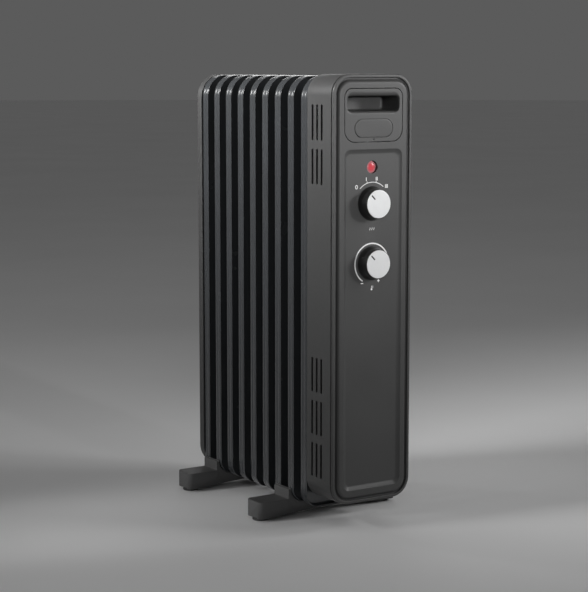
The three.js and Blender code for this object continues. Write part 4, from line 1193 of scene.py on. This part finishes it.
# One fin about its own middle plane. The band's outer face is two crowns with a seam between, each
# half a sine wave; it folds over at both edges and runs into the sheets through a round root. From
# the sheets the oil chamber rises by 3t^2 - 2t^3, and three channels are pressed in the same way.
def finPatches():
    low, high = nodeBox("fin_1")
    half, crown = fins["bandHalf"], fins["crown"]
    wall, sheet, rise = fins["bandWall"], fins["sheet"], fins["chamberRise"]
    root, seam, bore = fins["rootInset"], fins["seamInset"], fins["neckBore"]
    across = np.linspace(-half + seam, half - seam, 33)
    outer = np.stack([crown * (1 - np.sin(math.pi * np.abs(across) / half)), across], axis=1)
    edge = filletedLine(
        [(root, -sheet), (wall, -sheet), (wall, -half), (crown, -half), (crown * 0.9, -half + seam)],
        (fins["rootRound"], 0.5, 0.5),
        4,
    )
    profile = np.concatenate([edge, outer[1:-1], edge[::-1] * (1, -1)])
    patches = [insetPatch(finLoop, profile)]
    t = np.linspace(0, 1, 9)
    ease = 3 * t**2 - 2 * t**3
    chamberFlat = fins["chamberSlope"] + fins["chamberFlat"]
    slope = np.stack([t * fins["chamberSlope"], sheet + ease * (rise - sheet)], axis=1)
    slope = np.concatenate([slope, [(chamberFlat, rise)]])
    reach = (nodeBox("fin_2")[0][1] - low[1]) / 2 - fins["neckGap"]
    radius = fins["neckRadius"]
    foot = radius + fins["neckFoot"]
    neck = filletedLine([(foot, rise), (radius, rise), (radius, reach), (bore, reach)], (0.9, 0.8))
    necks = (high[2] - fins["headerInset"], low[2] + fins["headerInset"])
    dentFloor = sheet + fins["channelFloor"]
    dentSlope = fins["channelSlope"]
    dent = np.stack([t * dentSlope, rise - ease * (rise - sheet - fins["channelFloor"])], axis=1)
    dent = np.concatenate([[(-0.5, rise)], dent, [(dentSlope + 0.2, dentFloor)]])

    def channel(x, inset):
        side = fins["channelHalf"] - inset
        bottom, top = necks[1] + fins["channelGap"] + inset, necks[0] - fins["channelGap"] - inset
        return roundedLoop(x - side, x + side, bottom, top, (side,) * 4, 6)

    link = np.stack([np.insert(loop, 1, sheet, axis=1) for loop in (finLoop(root), chamberLoop(0.0))])
    holes = [circleLoop(foot, 0, z, 48) for z in necks]
    holes += [channel(x, -0.5) for x in fins["channels"]]
    face = [
        gridPatch(link),
        insetPatch(chamberLoop, slope),
        flatPatch(chamberLoop(chamberFlat), holes, rise),
    ]
    for z in necks:
        face.append(turnedPatch(neck, (0, 0, z), sides=48))
        face.append(flatPatch(circleLoop(bore, 0, z, 48), [], reach))
    for x in fins["channels"]:
        face.append(insetPatch(lambda inset, x=x: channel(x, inset), dent))
        face.append(flatPatch(channel(x, dentSlope + 0.2), [], dentFloor))
    return patches + [mirrored(patch, side) for side in (-1, 1) for patch in face]


sharedFin = finPatches()
for index in range(fins["count"]):
    node = "fin_" + str(index + 1)
    finLow, finHigh = nodeBox(node)
    moved = [placed(patch, move=(0, (finLow[1] + finHigh[1]) / 2, 0)) for patch in sharedFin]
    makePiece(node + "_panel", moved, "finEnamel", replaced=[node])
print("fins")


cover = {
    "wall": 2.0,
    "round": 4.5,
    "topCorner": 34.0,
    "bottomCorner": 34.0,
    "flat": 1.0,
    "lipRound": 0.5,
    "screwSeat": 4.1,
    "screwFlat": 0.8,
    "screwSink": 2.5,
}
coverLow, coverHigh = nodeBox("rear_cover")
coverScrews = [nodeBox("cover_screw_" + str(i)) for i in (1, 2)]


# The cover's outline, drawn in by an inset.
def coverLoop(inset):
    half = coverHigh[0] - inset
    lower, upper = cover["bottomCorner"] - inset, cover["topCorner"] - inset
    bottom, top = coverLow[2] + inset, coverHigh[2] - inset
    return roundedLoop(-half, half, bottom, top, (lower, lower, upper, upper), 16)


# A shallow tray, open towards the fins, its outer edge rounded over and its screw seats sunk.
def makeRearCover():
    front, back, wall = coverLow[1], coverHigh[1], cover["wall"]
    flatInset = cover["round"] + cover["flat"]
    profile = filletedLine(
        [
            (flatInset, back - wall),
            (wall, back - wall),
            (wall, front),
            (0.0, front),
            (0.0, back),
            (flatInset, back),
        ],
        (cover["round"] - wall, cover["lipRound"], cover["lipRound"], cover["round"]),
        7,
    )
    seatZs = [(low[2] + high[2]) / 2 for low, high in coverScrews]
    seatY = coverScrews[0][1][1] - cover["screwSink"]
    hole, rim = cover["screwSeat"], cover["screwSeat"] + cover["screwFlat"]
    seat = filletedLine([(rim, back), (hole, back), (hole, seatY), (0.0, seatY)], (0.5, 0.2))
    patches = [
        insetPatch(coverLoop, profile),
        flatPatch(coverLoop(flatInset), [], back - wall),
        flatPatch(coverLoop(flatInset), [circleLoop(rim, 0, z) for z in seatZs], back),
        *(turnedPatch(seat, (0, 0, z), sides=48) for z in seatZs),
    ]
    makePiece("rear_cover_shell", patches, "housingPlastic", replaced=["rear_cover"])


coverScrew = {"head": 2.2, "crossSeat": 2.3, "crossDepth": 1.2, "arm": 1.9, "slot": 0.45}


# A pan head with a domed top and a cross-shaped recess.
def makeCoverScrews():
    look = coverScrew
    seat, arm, width = look["crossSeat"], look["arm"], look["slot"]
    cross = [(arm, -width), (arm, width), (width, width), (width, arm), (-width, arm), (-width, width)]
    cross = np.concatenate([cross, np.negative(cross)])
    for index, (low, high) in enumerate(coverScrews):
        z = (low[2] + high[2]) / 2
        radius, top = high[0], high[1]
        under, floor = top - look["head"], top - look["crossDepth"]
        dome = filletedLine(
            [(0.0, under), (radius, under), (radius, top - 0.9), (radius * 0.72, top), (seat, top)],
            (0.1, 0.5, 0.6),
        )
        here = cross + [0, z]
        patches = [
            turnedPatch(dome, (0, 0, z), sides=40),
            flatPatch(circleLoop(seat, 0, z, 40), [here], top),
            wallPatch(here, (top, floor), smooth=False),
            flatPatch(here, [], floor),
        ]
        name = "cover_screw_" + str(index + 1)
        makePiece(name + "_head", patches, "zincSteel", replaced=[name])


makeRearCover()
makeCoverScrews()
print("rear cover")


foot = {
    "bottom": 4.5,
    "top": 29.0,
    "corner": 8.0,
    "arch": 5.5,
    "archStart": 4.0,  # where the places along the arch begin, past the cradle
    "archHalf": 92.0,
    "wall": 3.0,
    "deckTop": 23.4,
    "deckBottom": 16.9,
    "hollowLeast": 0.5,  # half the least depth of the hollow
    "hollowEnd": 0.02,  # its height where the end walls close it
    "cradleWall": 4.0,
    "cradleGap": 0.6,
    "round": 1.0,
    "toeRound": 1.4,
    "toeDrop": 4.0,  # how far the rounded top line reaches down the toe
}


# A foot is carried along x. At each place its section is an upside-down U with round shoulders: as
# deep as the plan's round ends allow, as high as the top line there, and open below.
def footPatches(low, high):
    half = high[0]
    depth = (high[1] - low[1]) / 2
    middleY = (high[1] + low[1]) / 2
    troughHalf = nodeBox("fin_1")[1][0] + foot["cradleGap"]
    cradleHalf = troughHalf + foot["cradleWall"]
    cornerR = fins["bottomCorner"] + foot["cradleGap"]
    archHalf = foot["archHalf"]
    turn = np.linspace(0, quarterTurn, 9)
    # top line from the middle of the trough out to the toe, as [x, z]
    troughX = troughHalf - cornerR + cornerR * np.sin(turn)
    trough = np.stack([troughX, foot["deckTop"] + cornerR * (1 - np.cos(turn))], axis=1)
    line = filletedLine(
        [
            (troughHalf, trough[-1, 1]),
            (troughHalf, high[2]),
            (cradleHalf, high[2]),
            (cradleHalf, foot["top"]),
            (half, foot["top"]),
            (half, foot["top"] - foot["toeDrop"]),
        ],
        (0.7, 0.9, 1.2, foot["toeRound"]),
        4,
    )
    archX = np.linspace(cradleHalf + foot["archStart"], archHalf, 8)
    spare = np.stack([archX, np.full(8, foot["top"])], axis=1)
    toeX = half - foot["corner"] * (1 - np.sin(turn[:-1]))
    toe = np.stack([toeX, np.full(len(toeX), foot["top"])], axis=1)
    insideX = np.linspace(0, troughHalf - cornerR, 14)[:-1]
    inside = np.stack([insideX, np.full(13, foot["deckTop"])], axis=1)
    split = len(line) - 1
    while line[split, 0] > half - foot["corner"]:
        split -= 1
    outerEnd = line[split + 1:]
    outerEnd = outerEnd[outerEnd[:, 0] > half - foot["toeRound"] + 1e-6]
    toe = toe[toe[:, 0] < half - foot["toeRound"]]
    top = np.concatenate([inside, trough[:-1], line[: split + 1], spare, toe, outerEnd])
    top = np.concatenate([(top * (-1, 1))[:0:-1], top])
    x, topZ = top.T
    past = np.clip(np.abs(x) - (half - foot["corner"]), 0, foot["corner"])
    deep = depth - foot["corner"] + np.sqrt(np.maximum(foot["corner"] ** 2 - past**2, 0))
    share = np.clip(1 - np.abs(x) / archHalf, 0, 1)
    under = foot["bottom"] + foot["arch"] * (1 - (1 - share) ** 2)
    rounding = np.minimum(foot["round"], (topZ - under) / 3)
    # the section's outside, from one lower edge over the top to the other
    rows = []
    for side in (-1, 1):
        wallRows = [np.stack([x, side * deep, under], axis=1)]
        for a in quarterTurn * np.linspace(0, 1, 6):
            y = side * (deep - rounding * (1 - math.cos(a)))
            wallRows.append(np.stack([x, y, topZ - rounding * (1 - math.sin(a))], axis=1))
        rows += wallRows[::-side]
    # the hollow below, back from the far lower edge to the near one
    inHalf = half - foot["wall"]
    hollowX = np.clip(x, -inHalf, inHalf)
    hollowDeep = np.maximum(deep - foot["wall"], foot["hollowLeast"])
    ceiling = np.where(np.abs(x) < cradleHalf, foot["deckBottom"], foot["top"] - foot["wall"])
    ceiling = np.where(np.abs(x) >= inHalf, under + foot["hollowEnd"], ceiling)
    for side, height in ((1, under), (1, ceiling), (-1, ceiling), (-1, under)):
        rows.append(np.stack([hollowX, side * hollowDeep, height], axis=1))
    grid = np.stack(rows, axis=1) + [0, middleY, 0]
    ends = [(ring, [list(range(len(ring)))], False) for ring in (grid[0], grid[-1])]
    return [gridPatch(grid), *ends]


pad = {"soft": 0.6, "softRise": 1.4, "waist": 0.5, "waistTop": 4.2, "stem": 3.0}
uBolt = {"rod": 2.5, "straight": 2.0}  # millimetres of straight rod kept below the bend


# A rubber pad, turned: a soft lower edge, a waist, and a stem.
def padProfile(low, high):
    radius = (high[0] - low[0]) / 2
    waistTop, stem = pad["waistTop"], pad["stem"]
    return filletedLine(
        [
            (0.0, low[2]),
            (radius - pad["soft"], low[2]),
            (radius, low[2] + pad["softRise"]),
            (radius - pad["waist"], waistTop),
            (stem, waistTop),
            (stem, high[2]),
            (0.0, high[2]),
        ],
        (0.8, 0.8, 0.4, 0.2, 0.4),
    )


# A U-bolt's middle line: up one leg, over a half circle and down the other leg.
def uBoltPath(low, high):
    half = high[0] - uBolt["rod"]
    y = (low[1] + high[1]) / 2
    crown = high[2] - uBolt["rod"] - half
    arc = np.linspace(math.pi, 0, 33)
    bend = np.stack([half * np.cos(arc), np.full(33, y), crown + half * np.sin(arc)], axis=1)
    legTop = crown - uBolt["straight"]
    up = [(-half, y, low[2]), (-half, y, legTop)]
    down = [(half, y, legTop), (half, y, low[2])]
    return np.concatenate([up, bend, down])


# Both feet, each with its two pads and its U-bolt.
def makeStand():
    for end in ("front", "rear"):
        name = "foot_" + end
        bar = footPatches(*nodeBox(name))
        makePiece(name + "_bar", bar, "footPlastic", replaced=[name])
        for hand in ("left", "right"):
            name = "foot_pad_" + end + "_" + hand
            low, high = nodeBox(name)
            middle = ((low[0] + high[0]) / 2, (low[1] + high[1]) / 2, 0)
            rubber = turnedPatch(padProfile(low, high), middle, "z", 48)
            makePiece(name + "_rubber", [rubber], "blackRubber", replaced=[name])
        name = "u_bolt_" + end
        rod = rodPatch(uBoltPath(*nodeBox(name)), uBolt["rod"], (0, 1, 0))
        makePiece(name + "_rod", [rod], "zincSteel", replaced=[name])


makeStand()
print("feet")


# Finishes of the CAD nodes that stay, by a word in their names; the last word that fits counts.
plainFinish = {
    "spindle": "zincSteel",
    "screw": "zincSteel",
    "plate": "zincSteel",
    "bracket": "zincSteel",
    "element": "zincSteel",
    "nut": "zincSteel",
    "flange": "brass",
    "plug": "brass",
    "cap": "finEnamel",
    "neon": "lampGlass",
    "inlet": "blackRubber",
}
for node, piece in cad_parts.items():
    if piece.hide_render:
        continue
    named = [finish for word, finish in plainFinish.items() if word in node]
    finish = named[-1] if named else "switchPlastic"
    piece.data.materials.clear()
    piece.data.materials.append(materials[finish])
print("kept nodes")


roomLook = {"colour": grey(0.55), "strength": 0.19}
floorLook = {"radius": 30.0, "low": grey(0.86), "high": grey(0.90), "rough": 0.75}
# Places in metres, sizes as width and height, spreads in degrees and powers in watts.
lights = {
    "key": {
        "at": (1.6, -1.64, 0.95), "aim": (0, -0.2, 0.63),
        "size": (0.4, 0.3), "spread": 50.0, "power": 1.3,
    },
    "side": {
        "at": (1.5, -1.0, 1.2), "aim": (0, -0.2, 0.64),
        "size": (0.6, 0.4), "spread": 70.0, "power": 1.6,
    },
    "front": {
        "at": (0.05, -2.6, 0.8), "aim": (0, -0.18, 0.57),
        "size": (0.1, 0.1), "spread": 22.0, "power": 0.38,
    },
    "left": {
        "at": (-1.6, 0.35, 1.3), "aim": (0, 0.08, 0.76),
        "size": (0.8, 0.4), "spread": 40.0, "power": 4.4,
    },
    "leftLow": {
        "at": (-1.5, 0.3, 0.33), "aim": (-0.1, 0.02, -0.03),
        "size": (0.3, 0.1), "spread": 11.0, "power": 0.075,
    },
    "fill": {
        "at": (-1.6, -2.6, 1.3), "aim": (0, 0, 0.62),
        "size": (0.8, 0.5), "spread": 32.0, "power": 0.5,
    },
    "spark": {
        "at": (-1.17, 1.83, 1.1), "aim": (0, 0, 0.6),
        "size": (0.2, 0.4), "spread": 60.0, "power": 0.45,
    },
    "backRight": {
        "at": (1.33, 2.09, 1.24), "aim": (0, 0, 0.6),
        "size": (1.2, 0.25), "spread": 90.0, "power": 0.85,
    },
    "overhead": {
        "at": (0, 0.6, 3.2), "aim": (0, 0.6, 0),
        "size": (3.0, 3.0), "spread": 180.0, "power": 7.0,
    },
}


# The floor is a large flat disc at height 0.
def makeFloor():
    angle = np.arange(64) * 2 * math.pi / 64
    ring = floorLook["radius"] * np.stack([np.cos(angle), np.sin(angle), 0 * angle], axis=1)
    mesh = bpy.data.meshes.new("floor")
    mesh.from_pydata(ring.tolist(), [], [list(range(64))])
    material, tree, shader = startMaterial("paleFloor")
    grain = addEffect(tree, "grain", Fineness=400.0, Cloud=1.5)
    tone = mapRange(tree, grain.outputs["Polish"], 0.0, 1.0)
    tree.links.new(mixColours(tree, tone, floorLook["low"], floorLook["high"]), shader.inputs["Base Color"])
    shader.inputs["Roughness"].default_value = floorLook["rough"]
    mesh.materials.append(material)
    floor = bpy.data.objects.new("floor", mesh)
    bpy.context.scene.collection.objects.link(floor)


# An oblong soft light whose front looks at its aim.
def makeLight(name, look):
    data = bpy.data.lights.new(name, "AREA")
    data.shape = "RECTANGLE"
    data.size, data.size_y = look["size"]
    data.energy = look["power"]
    data.spread = math.radians(look["spread"])
    lamp = bpy.data.objects.new(name, data)
    lamp.location = look["at"]
    away = np.array(look["at"]) - look["aim"]
    lamp.rotation_euler = (
        math.atan2(math.hypot(away[0], away[1]), away[2]),
        0,
        math.atan2(away[1], away[0]) + quarterTurn,
    )
    bpy.context.scene.collection.objects.link(lamp)


makeFloor()
for lightName, lightLook in lights.items():
    makeLight(lightName, lightLook)
world = bpy.data.worlds.new("studio")
world.use_nodes = True
backdrop = world.node_tree.nodes["Background"]
backdrop.inputs["Color"].default_value = roomLook["colour"]
backdrop.inputs["Strength"].default_value = roomLook["strength"]
bpy.context.scene.world = world
bpy.context.scene.view_settings.view_transform = "Standard"
print("floor and light")
